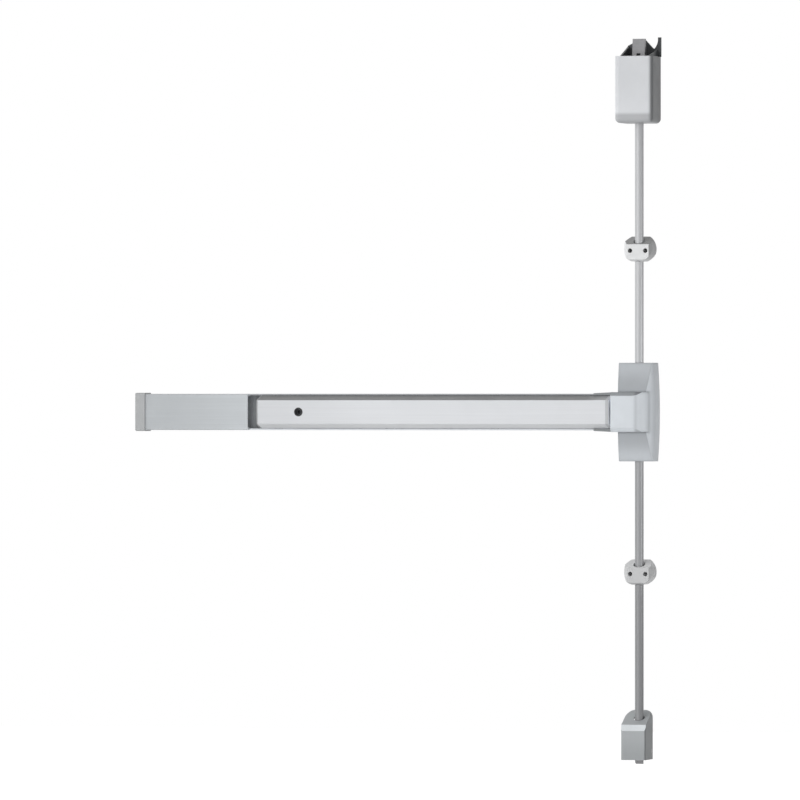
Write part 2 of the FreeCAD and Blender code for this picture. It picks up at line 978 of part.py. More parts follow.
def center_base_plate():
    half = base_height / 2
    plate = box(base_left, base_right, -base_thick, 0, -half, half)
    tab = box(base_left, base_right, -base_tab_depth, 0, half - base_thick, half)
    body = joined([plate, tab, mirror_z(tab)])
    mounts = four_holes(0, 0, case_mount_x, case_mount_z, base_thick, case_mount_r)
    levels = (lift_crank_z, -lift_crank_z)
    pivots = [bar_y(lift_crank_x, z, -base_thick - past, past, crank_pin_r) for z in levels]
    screws = joint_screw_holes(joint_screw_right)
    return body.cut(mounts + pivots + screws + case_screw_list())


def case_screw_list():
    """Countersunk screws through the ends of the centre cover into the tabs of the base plate."""
    screws = []
    length = case_wall + base_thick + screw_past
    for x in case_screw_places:
        screw = countersunk(V(x, -case_screw_depth, half_case), V(0, 0, -1), length)
        screws += [screw, mirror_z(screw)]
    return screws


def case_block(inset):
    """The centre case as a solid: arched front, bulged right side, round corner between them."""
    half = half_case - inset
    left = case_left + inset
    back = past if inset else 0.0
    turn = case_round - inset if inset < case_round else tiny
    end = -case_end_depth + inset
    bend = turn * (1 - math.sqrt(0.5))
    side = outline(
        on_x(left),
        (back, -half),
        (end + turn, -half),
        (end + bend, bend - half, end, turn - half),
        (-case_mid_depth + inset, 0, end, half - turn),
        (end + bend, half - bend, end + turn, half),
        (back, half),
    ).extrude(V(case_right - case_left, 0, 0))
    corner = case_right - case_bulge - inset
    front = outline(
        on_y(-case_mid_depth - past),
        (left - past, -half - past),
        (corner, -half - past),
        (case_right - inset, 0, corner, half + past),
        (left - past, half + past),
    ).extrude(V(0, case_mid_depth + 3 * past, 0))
    radius = case_side_round - inset
    slant = radius * math.sqrt(0.5)
    centre_x = case_right - case_side_round
    centre_y = case_side_round - case_mid_depth
    plan = outline(
        on_z(-half - past),
        (left - past, back + past),
        (left - past, centre_y - radius),
        (centre_x, centre_y - radius),
        (centre_x + slant, centre_y - slant, centre_x + radius, centre_y),
        (centre_x + radius, back + past),
    ).extrude(V(0, 0, 2 * (half + past)))
    return side.common(front).common(plan)


def nose_block(inset):
    """The nose as a solid: a flat front that curves back into the case."""
    half = nose_height / 2 - inset
    front = -nose_front + inset
    rise = nose_front - nose_blend_depth
    run = nose_right - nose_flat_right
    radius = (run * run + rise * rise) / (2 * rise)
    centre_y = -nose_front + radius
    turn = math.asin(run / radius) / 2
    small = radius - inset
    right = nose_flat_right + small * math.sin(2 * turn)
    blend = centre_y - small * math.cos(2 * turn)
    back = past if inset else 0.0
    left = nose_left + inset
    turn_left = nose_round - inset
    bend = turn_left * (1 - math.sqrt(0.5))
    return outline(
        on_z(-half),
        (left, back),
        (left, front + turn_left),
        (left + bend, front + bend, left + turn_left, front),
        (nose_flat_right, front),
        (
            nose_flat_right + small * math.sin(turn),
            centre_y - small * math.cos(turn),
            right,
            blend,
        ),
        (right, back),
    ).extrude(V(0, 0, 2 * half))


def bevelled_nose(inset):
    """The nose with its top and bottom front edges sloped."""
    half = nose_height / 2 - inset
    front = -nose_front + inset
    bevel = nose_bevel - inset * (2 - math.sqrt(2))
    start = nose_left - past
    side = outline(
        on_x(start),
        (past, -half),
        (front + bevel, -half),
        (front, bevel - half),
        (front, half - bevel),
        (front + bevel, half),
        (past, half),
    ).extrude(V(nose_right - start + past, 0, 0))
    return nose_block(inset).common(side)


def center_cover():
    outer = case_block(0).fuse(bevelled_nose(0))
    shell = outer.cut([case_block(case_wall), bevelled_nose(case_wall)])
    channel_room = box(
        nose_left - past,
        nose_left + case_wall + past,
        -channel_depth - seat_gap,
        past,
        -half_channel - seat_gap,
        half_channel + seat_gap,
    )
    rod_room = bar_z(0, -rod_depth, -half_case - past, half_case + past, bushing_r)
    return shell.cut([channel_room, rod_room] + case_screw_list()).removeSplitter()


def lift_crank_pivots():
    """Shouldered pins, each with a groove for its clip in front of the crank."""
    clip_back = -rod_depth - plate_half - sheet_gap
    clip_front = clip_back - clip_thick
    shoulder_front = -rod_depth + plate_half + sheet_gap

    def turned(front, back, radius):
        return bar_y(lift_crank_x, lift_crank_z, front, back, radius)

    shoulder = turned(shoulder_front, -base_thick, lift_shoulder_r)
    journal = turned(clip_front - pin_cap, shoulder_front + weld, lift_pin_r)
    tail = turned(-base_thick - weld, 0, crank_pin_r)
    groove = turned(clip_front, clip_back, lift_pin_r + past)
    core = turned(clip_front - past, clip_back + past, lift_pin_r - groove_deep)
    return with_mirror(joined([shoulder, journal, tail]).cut(groove.cut(core)))


def lift_crank_clips():
    """Open rings that snap into the grooves of the pivots."""
    back = -rod_depth - plate_half - sheet_gap
    front = back - clip_thick
    half = clip_mouth / 2
    ring = bar_y(lift_crank_x, lift_crank_z, front, back, clip_r)
    bore = bar_y(lift_crank_x, lift_crank_z, front - past, back + past, lift_pin_r - groove_deep)
    mouth = box(
        lift_crank_x - half,
        lift_crank_x + half,
        front - past,
        back + past,
        lift_crank_z,
        lift_crank_z + clip_r + past,
    )
    return with_mirror(ring.cut([bore, mouth]))


def rod_tube(low, high, radius):
    """A ring round the rods' line that a rod runs in."""
    bore = bar_z(0, -rod_depth, low - past, high + past, rod_r + running_fit)
    return bar_z(0, -rod_depth, low, high, radius).cut(bore)


def rod_bushings():
    """Nylon rings that guide the rods: centre case, top latch and both guides."""
    inside = half_case - case_wall
    ring = rod_tube(inside - bushing_flange, half_case, bushing_r)
    flange = rod_tube(inside - bushing_flange, inside, bushing_flange_r)
    centre = joined([ring, flange])
    latch_in = top_case_bottom + top_case_wall + bushing_flange
    rings = [centre, mirror_z(centre), rod_tube(top_case_bottom, latch_in, bushing_r)]
    radius = rod_r + running_fit + guide_bushing_wall
    high = guide_face_top - guide_bushing_drop
    for z in (upper_guide_z, lower_guide_z):
        rings.append(rod_tube(z - guide_height / 2, z + high, radius))
    return Part.makeCompound(rings)


def lift_crank():
    """The upper crank that turns the draw bar's pull into the rod's stroke."""
    place = on_y(-plate_half)
    in_arm, in_slot = crank_arm(place, (0, -1), lift_in_arm)
    out_arm, out_slot = crank_arm(place, (-1, 0), lift_out_arm)
    across = V(0, crank_plate, 0)
    boss = bar_y(0, 0, -plate_half, plate_half, lift_boss_r)
    side = lift_in_arm * crank_web_share
    web = outline(place, (0, 0), (-side, 0), (0, -side)).extrude(across)
    body = joined([boss, in_arm.extrude(across), out_arm.extrude(across), web])
    bore = bar_y(0, 0, -crank_plate, crank_plate, lift_pin_r + running_fit / 2)
    body = body.cut([in_slot.extrude(across), out_slot.extrude(across), bore])
    body.rotate(V(0, 0, 0), V(0, 1, 0), crank_swing)
    body.translate(V(lift_crank_x, -rod_depth, lift_crank_z))
    return body


# Rods and their ends


def lock_nut(z):
    nut = hexagon(on_z(z), 0, -rod_depth, nut_flats).extrude(V(0, 0, nut_height))
    return nut.cut(bar_z(0, -rod_depth, z - past, z + nut_height + past, thread_r))


def rod_clevis():
    """Fork over a lift crank, screwed into the rod."""
    pin = upper_pin_z
    half = clevis_width / 2
    deep = plate_half + sheet_gap + clevis_ear
    low = pin - clevis_below_pin
    top = pin + clevis_above_pin
    body = box(-half, half, -rod_depth - deep, -rod_depth + deep, low, top)
    slot = box(
        -half - past,
        half + past,
        -rod_depth - plate_half - sheet_gap,
        -rod_depth + plate_half + sheet_gap,
        low - past,
        pin + clevis_slot_above,
    )
    shank = bar_z(0, -rod_depth, top - weld, top + nut_height + thread_length, thread_r)
    hole = bar_y(0, pin, -rod_depth - deep - past, -rod_depth + deep + past, pin_r)
    return joined([body, shank]).cut([slot, hole])


def clevis_pin():
    deep = plate_half + sheet_gap + clevis_ear
    front = V(0, -rod_depth - deep, upper_pin_z)
    back = V(0, -rod_depth + deep, upper_pin_z)
    return capped_pin(front, back, pin_r, pin_cap, pin_cap_rim)


def plain_rod(low, high):
    """A rod with a threaded bore in each end."""
    rod = bar_z(0, -rod_depth, low, high, rod_r)
    bores = [
        bar_z(0, -rod_depth, low - past, low + thread_length, thread_r),
        bar_z(0, -rod_depth, high - thread_length, high + past, thread_r),
    ]
    return rod.cut(bores)


def rod_start():
    """Height of the rod's end above the centre clevis and its nut."""
    return upper_pin_z + clevis_above_pin + nut_height


def top_rod_end():
    return bolt_pin_z - tang_below_pin - tang_collar - nut_height


def top_rod_tang():
    """Flat end that the pivoting bolt straddles."""
    half = tang_width / 2
    blade = outline(
        on_x(-tang_thick / 2),
        (-rod_depth - half, bolt_pin_z - tang_below_pin),
        (-rod_depth + half, bolt_pin_z - tang_below_pin),
        (-rod_depth + half, bolt_pin_z),
        (-rod_depth, bolt_pin_z + half, -rod_depth - half, bolt_pin_z),
    ).extrude(V(tang_thick, 0, 0))
    low = bolt_pin_z - tang_below_pin - tang_collar
    collar = bar_z(0, -rod_depth, low, low + tang_collar, rod_r)
    shank = bar_z(0, -rod_depth, low - nut_height - thread_length, low + weld, thread_r)
    return joined([blade, collar, shank]).cut(tang_pin())


def tang_pin():
    return bar(V(-bolt_half, -rod_depth, bolt_pin_z), V(bolt_half, -rod_depth, bolt_pin_z), pin_r)


def bottom_rod_end():
    """Height of the bottom rod's lower end."""
    return low_case_bottom - low_bolt_reach + low_bolt_length + nut_height


def bottom_bolt():
    """Round bolt with a tip sloped on its front."""
    low = low_case_bottom - low_bolt_reach
    high = low + low_bolt_length
    body = bar_z(0, -rod_depth, low, high, low_bolt_r)
    shank = bar_z(0, -rod_depth, high - weld, high + nut_height + thread_length, thread_r)
    front = -rod_depth - low_bolt_r
    slope = outline(
        on_x(-low_bolt_r - past),
        (front - past, low),
        (-rod_depth + low_slope_back, low),
        (front, low + low_slope_height),
        (front - past, low + low_slope_height),
    ).extrude(V(2 * (low_bolt_r + past), 0, 0))
    return joined([body, shank]).cut(slope)


# Top latch


def rounded_case(x0, x1, front, z0, z1, back, radius):
    """A block whose front corners and bottom edges are round."""
    block = box(x0, x1, front, back, z0, z1)
    rounded = []
    for edge in block.Edges:
        room = edge.BoundBox
        upright = room.ZLength > tiny and room.YMax < front + tiny
        bottom = room.ZMax < z0 + tiny and room.YMin < back - tiny
        if upright or bottom:
            rounded.append(edge)
    return block.makeFillet(radius, rounded)


def top_screw_list():
    """Countersunk screws through the bottom of the cover into the chassis."""
    length = top_case_wall + top_plate_thick + screw_past
    starts = [V(x, -top_screw_depth, top_case_bottom) for x in top_screw_places]
    return [countersunk(start, V(0, 0, 1), length) for start in starts]


def top_latch_cover():
    outer = rounded_case(
        top_case_left, top_case_right, -top_case_depth, top_case_bottom, top_case_top, 0, top_case_round
    )
    wall = top_case_wall
    inner = rounded_case(
        top_case_left + wall,
        top_case_right - wall,
        -top_case_depth + wall,
        top_case_bottom + wall,
        top_case_top + past,
        past,
        top_case_round - wall,
    )
    low = top_case_bottom - past
    rod_room = bar_z(0, -rod_depth, low, top_case_bottom + wall + past, bushing_r)
    return outer.cut(inner).cut([rod_room] + top_screw_list())


def top_latch_chassis():
    """Back plate with a stop and a horn, two side plates, and a bottom flange."""
    low = top_case_bottom + top_case_wall + sheet_gap
    half = top_plate_half
    thick = top_plate_thick
    rim = top_case_top + seat_gap
    back = box(-half, half, -thick, 0, low, top_case_top)
    peak = [(x, top_case_top + rise) for x, rise in top_back_peak + top_back_valley]
    horn_top = top_case_top + top_horn_rise
    crown = outline(
        on_y(-thick),
        (-half, rim),
        (-half, top_case_top + top_back_left),
        *peak,
        (top_horn_curve[0], top_case_top + top_horn_curve[1], top_horn_left, horn_top),
        (top_horn_right, horn_top),
        (top_horn_right, rim),
    ).extrude(V(0, thick, 0))
    floor = box(-half, half, -top_side_depth, 0, low, low + thick)

    def side_plate(x, points):
        start = [(0, low), (-top_side_depth, low), (-top_side_depth, top_case_top + top_side_rise)]
        return outline(on_x(x), *start, *points).extrude(V(thick, 0, 0))

    left = side_plate(-half, [(0, top_case_top + top_back_left)])
    right = side_plate(
        half - thick,
        [
            (-top_post_depth, top_case_top + top_shoulder_rise),
            (0, top_case_top + top_back_valley[1][1]),
        ],
    )
    mounts = four_holes(0, top_mount_middle, top_mount_x, top_mount_z, thick, latch_hole_r)
    pin_left = V(-half - past, -bolt_pivot_depth, bolt_pivot_z)
    pin_right = V(half + past, -bolt_pivot_depth, bolt_pivot_z)
    pin = bar(pin_left, pin_right, bolt_pin_r)
    rod_room = bar_z(0, -rod_depth, low - past, low + thick + past, bushing_r)
    inset = top_case_wall + sheet_gap
    cover_room = rounded_case(
        top_case_left + inset,
        top_case_right - inset,
        -top_case_depth + inset,
        low,
        horn_top + past,
        past,
        top_case_round - inset,
    )
    body = joined([back, floor, left, right]).cut(mounts + [pin, rod_room] + top_screw_list())
    return joined([body.common(cover_room), crown])


def top_latch_pivot_pin():
    left = V(-top_plate_half, -bolt_pivot_depth, bolt_pivot_z)
    right = V(top_plate_half, -bolt_pivot_depth, bolt_pivot_z)
    return capped_pin(left, right, bolt_pin_r, pivot_cap, pivot_cap_rim)


def top_bolt():
    """Fin that holds the strike's roller in the throat behind it, drawn at rest about its pivot."""
    longest = bolt_arm / math.cos(math.radians(bolt_swing))
    fin = outline(
        on_x(-bolt_half),
        bolt_front,
        (bolt_tip_front, bolt_tip_height),
        (bolt_tip_back, bolt_tip_height),
        bolt_throat_top,
        bolt_throat_curve + (0.0, bolt_hub_r - seat_gap),
        bolt_heel,
        bolt_chin,
    ).extrude(V(2 * bolt_half, 0, 0))
    arm = stadium(on_x(-bolt_half), (0, 0), (-(bolt_arm + longest) / 2, 0), bolt_arm_half)
    arm = arm.extrude(V(2 * bolt_half, 0, 0))
    slot_face = stadium(
        on_x(-bolt_half - past),
        (-bolt_arm + slot_end_gap, 0),
        (-longest - slot_end_gap, 0),
        slot_half,
    )
    slot = slot_face.extrude(V(2 * (bolt_half + past), 0, 0))
    for piece in (arm, slot):
        piece.rotate(V(0, 0, 0), V(1, 0, 0), -bolt_swing)
    hub_half = top_plate_half - top_plate_thick - sheet_gap
    hub = bar(V(-hub_half, 0, 0), V(hub_half, 0, 0), bolt_hub_r)
    bore = bar(V(-hub_half - past, 0, 0), V(hub_half + past, 0, 0), bolt_pin_r + running_fit / 2)
    tang_half = tang_thick / 2 + sheet_gap
    out = -2 * bolt_arm
    tang_room = box(-tang_half, tang_half, out, -bolt_room_back, out, bolt_floor)
    body = joined([fin, arm, hub]).cut([slot, bore, tang_room])
    body.translate(V(0, -bolt_pivot_depth, bolt_pivot_z))
    return body


# Bottom latch


def low_case_arch(inset, top):
    """Front view of the block: round at the two upper corners."""
    left = low_case_left + inset
    right = low_case_right - inset
    radius = low_case_corner - inset
    turn = radius * (1 - math.sqrt(0.5))
    bottom = low_case_bottom - 2 * past
    return outline(
        on_y(-low_case_depth - past),
        (left, bottom),
        (left, top - radius),
        (left + turn, top - turn, left + radius, top),
        (right - radius, top),
        (right - turn, top - turn, right, top - radius),
        (right, bottom),
    ).extrude(V(0, low_case_depth + 3 * past, 0))


def low_case_block(inset):
    """Block whose top slopes down to a steep front edge."""
    slope = low_case_drop / low_case_edge_depth
    steep = low_case_edge_height / (low_case_depth - low_case_edge_depth)
    top = low_case_top - inset * math.hypot(1, slope)
    front = -low_case_depth + inset
    rim = low_case_top - low_case_drop - low_case_edge_height + inset * (steep - math.hypot(1, steep))
    across = (top - rim - (low_case_depth - inset) * steep) / (steep - slope)
    bottom = low_case_bottom - (past if inset else 0)
    back = past if inset else 0
    left = low_case_left + inset
    wedge = outline(
        on_x(left),
        (back, bottom),
        (front, bottom),
        (front, rim),
        (across, top + slope * across),
        (back, top + slope * back),
    ).extrude(V(low_case_right - low_case_left - 2 * inset, 0, 0))
    return wedge.common(low_case_arch(inset, top))


def low_screw_list():
    """Countersunk screws through the sides of the cover into the guide block."""
    z = low_case_bottom + low_plate_inset + low_block_height / 2
    screws = []
    for x, way in ((low_case_left, 1), (low_case_right, -1)):
        length = abs(x) - low_block_half + screw_past
        screws.append(countersunk(V(x, -low_screw_depth, z), V(way, 0, 0), length))
    return screws


def bottom_latch_cover():
    outer = low_case_block(0)
    upright = []
    for edge in front_rim(outer, low_case_depth - tiny):
        if edge.BoundBox.XLength < tiny:
            upright.append(edge)
    outer = outer.makeFillet(low_case_round, upright)
    inside = low_case_top - low_case_drop - low_case_edge_height - past
    rod_room = bar_z(0, -rod_depth, inside, low_case_top + past, low_rod_hole_r)
    return outer.cut([low_case_block(low_case_wall), rod_room] + low_screw_list())


def bottom_latch_chassis():
    """Back plate with the block that guides the bolt."""
    low = low_case_bottom + low_plate_inset
    high = low_case_top - low_case_corner
    plate = box(low_plate_left, low_plate_right, -top_plate_thick, 0, low, high)
    front = -low_case_depth + low_case_wall + sheet_gap
    block = box(-low_block_half, low_block_half, front, -top_plate_thick, low, low + low_block_height)
    mounts = four_holes(
        low_mount_across,
        low_case_top - low_mount_drop,
        low_mount_x,
        low_mount_z,
        top_plate_thick,
        low_mount_r,
    )
    bore_top = low + low_block_height + past
    bore = bar_z(0, -rod_depth, low - past, bore_top, low_bolt_r + running_fit)
    return joined([plate, block]).cut(mounts + [bore] + low_screw_list())


# Rod guides


def rod_guide(z):
    """Die cast saddle: flat front, slope above it round the rod, a counterbored hole each side."""
    middle = (guide_left + guide_right) / 2
    low = z - guide_height / 2
    high = z + guide_height / 2
    plan = outline(
        on_z(low),
        (guide_left, 0),
        (guide_left, -guide_left_depth),
        (-guide_face_half, -guide_depth),
        (guide_face_half, -guide_depth),
        (guide_right, -guide_right_depth),
        (guide_right, 0),
    ).extrude(V(0, 0, guide_height))
    side = outline(
        on_x(guide_left - past),
        (0, low),
        (-guide_chin_depth, low),
        (-guide_depth, z - guide_face_bottom),
        (-guide_depth, z + guide_face_top),
        (-guide_slope_back, high),
        (0, high),
    ).extrude(V(guide_right - guide_left + 2 * past, 0, 0))
    disc = bar_y(middle, z, -guide_depth - past, 0, guide_round_r)
    chin = bar_y(middle, z + guide_chin_rise, -guide_depth - past, 0, guide_chin_r)
    body = plan.common(side).common(disc).common(chin)
    bore_r = rod_r + running_fit + guide_bushing_wall
    front = -guide_depth - past
    mouth = z + guide_face_top - guide_bushing_drop
    cuts = [
        bar_z(0, -rod_depth, low - past, high + past, bore_r),
        bar_z(0, -rod_depth, mouth, high + past, guide_bore_r),
    ]
    for x in (guide_hole_spacing / 2, -guide_hole_spacing / 2):
        cuts.append(bar_y(x, z - guide_hole_drop, front, past, guide_hole_r))
        cuts.append(bar_y(x, z - guide_hole_drop, front, -guide_counterbore_floor, guide_counterbore_r))
    return body.cut(cuts)


def make_bar():
    save("channel", channel())
    save("cover_plate", cover_plate())
    save("end_cap", end_cap())
    save("end_cap_screws", Part.makeCompound(end_screw_list()))
    save("end_bracket", end_bracket())
    save("head_adapter", head_adapter())
    save("joint_plate", joint_plate())
    save("joint_screws", Part.makeCompound(joint_screws()))
    save("bracket_rivets", bracket_rivets())
    save("crank_pivot_pins", crank_pivot_pins())
    save("draw_bar_guides", draw_bar_guides())
    save("pad_bumpers", pad_bumpers())
    save("return_springs", return_springs())
    save("spring_posts", spring_posts())
    save("dogging_catch", dogging_catch())
    save("push_pad", push_pad())
    save("pad_end_cap_left", pad_end_cap(pad_left, 1))
    save("pad_end_cap_right", pad_end_cap(pad_right, -1))
    save("pad_lug_pins", pad_lug_pins())
    save("dogging_bushing", dogging_bushing())
    save("dogging_spindle", dogging_spindle())
    for side, x in zip(("left", "right"), crank_places):
        save("crank_bracket_" + side, crank_bracket(x))
        save("pad_lug_" + side, pad_lug(x))
        save("crank_" + side, bell_crank(x))
    save("draw_bar", draw_bar())
    save("draw_bar_pins", draw_bar_pins())
    save("draw_head", draw_head())


def make_centre_case():
    save("center_base_plate", center_base_plate())
    save("center_cover", center_cover())
    save("center_cover_screws", Part.makeCompound(case_screw_list()))
    save("lift_crank_pivots", lift_crank_pivots())
    save("lift_crank_clips", lift_crank_clips())
    save("rod_bushings", rod_bushings())
    save("lift_crank_upper", lift_crank())
    save("lift_crank_lower", mirror_z(lift_crank()))


def make_rods():
    save("top_rod", plain_rod(rod_start(), top_rod_end()))
    save("top_rod_clevis", rod_clevis())
    save("top_rod_tang", top_rod_tang())
    save("top_rod_pins", Part.makeCompound([clevis_pin(), tang_pin()]))
    upper_nuts = [lock_nut(rod_start() - nut_height), lock_nut(top_rod_end())]
    save("top_lock_nuts", Part.makeCompound(upper_nuts))
    save("bottom_rod", plain_rod(bottom_rod_end(), -rod_start()))
    save("bottom_rod_clevis", mirror_z(rod_clevis()))
    save("bottom_rod_pin", mirror_z(clevis_pin()))
    lower_nuts = [lock_nut(-rod_start()), lock_nut(bottom_rod_end() - nut_height)]
    save("bottom_lock_nuts", Part.makeCompound(lower_nuts))
    save("bottom_bolt", bottom_bolt())
    save("upper_rod_guide", rod_guide(upper_guide_z))
    save("lower_rod_guide", rod_guide(lower_guide_z))


def make_latches():
    save("top_latch_cover", top_latch_cover())
    save("top_latch_cover_screws", Part.makeCompound(top_screw_list()))
    save("top_latch_chassis", top_latch_chassis())
    save("top_latch_pivot_pin", top_latch_pivot_pin())
    save("top_bolt", top_bolt())
    save("bottom_latch_cover", bottom_latch_cover())
    save("bottom_latch_cover_screws", Part.makeCompound(low_screw_list()))
    save("bottom_latch_chassis", bottom_latch_chassis())


os.makedirs("parts", exist_ok=True)
make_bar()
make_centre_case()
make_rods()
make_latches()
print("pad travel", round(pad_travel, 3), "draw", round(draw_travel, 3), "rod", round(rod_travel, 3))
print("bolt swing", round(2 * bolt_swing, 3))
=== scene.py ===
"""Dresses a vertical rod exit device: satin aluminium bar, sprayed castings, rods, latches."""
import math

import bmesh
import bpy
from bpy.props import FloatProperty, FloatVectorProperty, IntProperty, PointerProperty
from mathutils import Matrix, Vector


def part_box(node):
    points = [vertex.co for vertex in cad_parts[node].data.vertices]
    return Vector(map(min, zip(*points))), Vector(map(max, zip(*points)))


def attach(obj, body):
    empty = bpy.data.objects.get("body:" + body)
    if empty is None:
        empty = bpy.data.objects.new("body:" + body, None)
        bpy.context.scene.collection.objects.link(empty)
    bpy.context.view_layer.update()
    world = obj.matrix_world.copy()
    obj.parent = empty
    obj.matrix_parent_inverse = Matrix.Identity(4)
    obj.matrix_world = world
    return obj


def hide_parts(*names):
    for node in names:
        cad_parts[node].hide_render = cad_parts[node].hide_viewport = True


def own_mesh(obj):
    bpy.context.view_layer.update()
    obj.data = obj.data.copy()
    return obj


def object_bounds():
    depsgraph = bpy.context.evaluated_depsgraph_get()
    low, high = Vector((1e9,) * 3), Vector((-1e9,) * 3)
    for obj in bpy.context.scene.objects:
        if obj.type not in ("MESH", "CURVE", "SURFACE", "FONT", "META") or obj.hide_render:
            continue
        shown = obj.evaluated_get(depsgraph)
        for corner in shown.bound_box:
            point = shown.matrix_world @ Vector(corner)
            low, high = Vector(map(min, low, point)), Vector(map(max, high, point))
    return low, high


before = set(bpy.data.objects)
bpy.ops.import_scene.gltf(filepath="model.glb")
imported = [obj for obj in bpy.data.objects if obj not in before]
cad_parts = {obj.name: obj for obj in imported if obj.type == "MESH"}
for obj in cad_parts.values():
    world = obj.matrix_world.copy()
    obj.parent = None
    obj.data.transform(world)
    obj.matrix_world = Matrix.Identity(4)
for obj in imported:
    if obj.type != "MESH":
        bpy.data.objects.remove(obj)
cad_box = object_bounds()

bl_info = {
    "name": "Vertical Rod Exit Device",
    "version": (1, 0, 0),
    "blender": (4, 5, 0),
    "location": "View3D > Sidebar > Exit Device",
    "description": "Finishes, small parts and studio for a vertical rod exit device",
    "category": "Object",
}


# Settings


def tone(red, green, blue):
    """A colour given as on a paint card, 0 to 255, in the renderer's linear values."""
    out = []
    for part in (red, green, blue):
        part = part / 255
        out.append(part / 12.92 if part <= 0.04045 else ((part + 0.055) / 1.055) ** 2.4)
    return tuple(out)


def colour(name, description, *card):
    """A colour setting whose default is given as on a paint card."""
    return FloatVectorProperty(
        name=name,
        description=description,
        subtype="COLOR",
        size=3,
        min=0.0,
        max=1.0,
        default=tone(*card),
    )


def length(name, description, default):
    """A length setting that can't be negative."""
    return FloatProperty(
        name=name, description=description, default=default, min=0.0, unit="LENGTH"
    )


class ExitDeviceFinish(bpy.types.PropertyGroup):
    """Colours of the device's finishes; a few are set paler or darker as painted light and painted
    shade.
    """

    pad: colour("Push pad", "Satin aluminium of the push pad", 224, 226, 229)
    cover: colour("Cover plate", "Satin aluminium of the plate beside the pad", 185, 189, 192)
    channel: colour("Channel", "Aluminium of the channel round the pad", 170, 173, 176)
    end_cap: colour("End cap", "Sprayed casting at the bar's end", 180, 182, 183)
    case: colour("Centre case", "Sprayed casting over the cranks", 180, 184, 188)
    latch: colour("Top latch cover", "Sprayed casting over the top latch", 222, 224, 227)
    low_latch: colour(
        "Bottom latch cover", "Sprayed casting over the bottom latch", 189, 193, 195
    )
    # The guides' grey is partly the casting's own and partly a painted highlight, raised for the
    # upper guide's front
    guide: colour("Rod guides", "Sprayed saddle castings", 236, 237, 238)
    adapter: colour("Adapter", "Dark frame between channel and nose", 154, 157, 159)
    # The two rods are one satin steel: the lower rod's colour is that steel painted darker, as
    # painted shade
    rod: colour("Upper rod", "Satin steel of the upper rod", 198, 199, 201)
    low_rod: colour("Lower rod", "Satin steel of the rods, painted darker as shade on the lower rod", 162, 163, 165)
    plated: colour("Plated steel", "Zinc plated brackets and plates", 172, 174, 176)
    bright: colour("Screws", "Bright plated screws and pins", 188, 189, 190)
    hard: colour("Hardened steel", "Cranks, clevises and bolts", 150, 150, 152)
    # A dark steel for the top latch's chassis and the dogging spindle
    black: colour(
        "Blackened steel", "Chassis of the top latch and the dogging spindle", 74, 76, 78
    )
    spring: colour("Spring steel", "Oiled spring wire", 96, 96, 98)
    nylon: colour("Black nylon", "Bushings and guides", 34, 34, 36)
    # The end caps' grey is partly the nylon's own and partly painted light, set pale to lift the
    # shaded gap by the nose
    cap: colour("Grey nylon", "End caps of the push pad", 200, 202, 205)
    rubber: colour("Rubber", "Bumpers behind the pad", 30, 30, 30)
    wear: FloatProperty(
        name="Edge wear",
        description="How far edges are rubbed bright",
        default=0.35,
        min=0.0,
        max=1.0,
    )


class ExitDeviceSizes(bpy.types.PropertyGroup):
    """Sizes of the small parts that are made here."""

    screw_head: length("Screw head radius", "Radius of the countersunk heads", 0.0033)
    screw_shank: length("Screw shank radius", "Radius of the screws' shanks", 0.0017)
    head_depth: length("Screw head depth", "Depth of the countersunk heads", 0.0016)
    recess_arm: length("Recess reach", "Reach of the cross recess from the screw's axis", 0.0020)
    recess_width: length("Recess width", "Width of the cross recess", 0.0009)
    recess_depth: length("Recess depth", "Depth of the cross recess", 0.0012)
    rim_outer: length("Rim radius", "Outer radius of the rim round the dogging hole", 0.0072)
    rim_inner: length("Rim opening", "Inner radius of that rim", 0.0057)
    rim_depth: length("Rim depth", "How far that rim stands out from the pad", 0.0003)
    spring_radius: length("Spring radius", "Middle radius of the return springs", 0.0044)
    spring_wire: length("Spring wire radius", "Radius of the springs' wire", 0.00055)
    spring_turns: IntProperty(
        name="Spring turns", description="Turns of each return spring", default=11, min=2, max=24
    )


class ExitDeviceStage(bpy.types.PropertyGroup):
    """Camera, floor and light."""

    view_angle: FloatProperty(
        name="View angle",
        description="How far the camera stands to the right of square-on",
        default=math.radians(15.0),
        subtype="ANGLE",
    )
    distance: length("Camera distance", "From the camera to the device", 16.0)
    frame_width: length("Frame width", "Width that the picture takes in", 1.320)
    aim_across: FloatProperty(
        name="Aim across",
        description="Middle of the picture along the view's width",
        default=-0.3991,
        unit="LENGTH",
    )
    aim_height: FloatProperty(
        name="Aim height",
        description="Middle of the picture in height",
        default=0.0198,
        unit="LENGTH",
    )
    floor_drop: length("Floor drop", "How far the floor lies below the device", 0.09)
    ambient: FloatProperty(
        name="Ambient", description="Level of the room's light", default=0.67, min=0.0
    )
    lean: FloatVectorProperty(
        name="Lean",
        description="How the room's light grows along each axis",
        size=3,
        default=(-0.50, -0.20, -0.40),
    )
    lamp: FloatProperty(
        name="Key lamp",
        description="Power of the soft lamp",
        default=26.0,
        min=0.0,
        subtype="POWER",
    )
    fill: FloatProperty(
        name="Fill lamp",
        description="Power of the lamp that lights the case from the right",
        default=60.0,
        min=0.0,
        subtype="POWER",
    )
    floor_glow: FloatProperty(
        name="Floor glow",
        description="Level that whitens the floor for the camera",
        default=0.75,
        min=0.0,
    )


# Shader nodes


def node(tree, kind, **settings):
    """A new node with its settings."""
    made = tree.nodes.new(kind)
    for key, value in settings.items():
        setattr(made, key, value)
    return made


def put(tree, value, socket):
    """Feeds a socket from another one, or with a plain value."""
    if isinstance(value, bpy.types.NodeSocket):
        tree.links.new(value, socket)
    else:
        socket.default_value = value


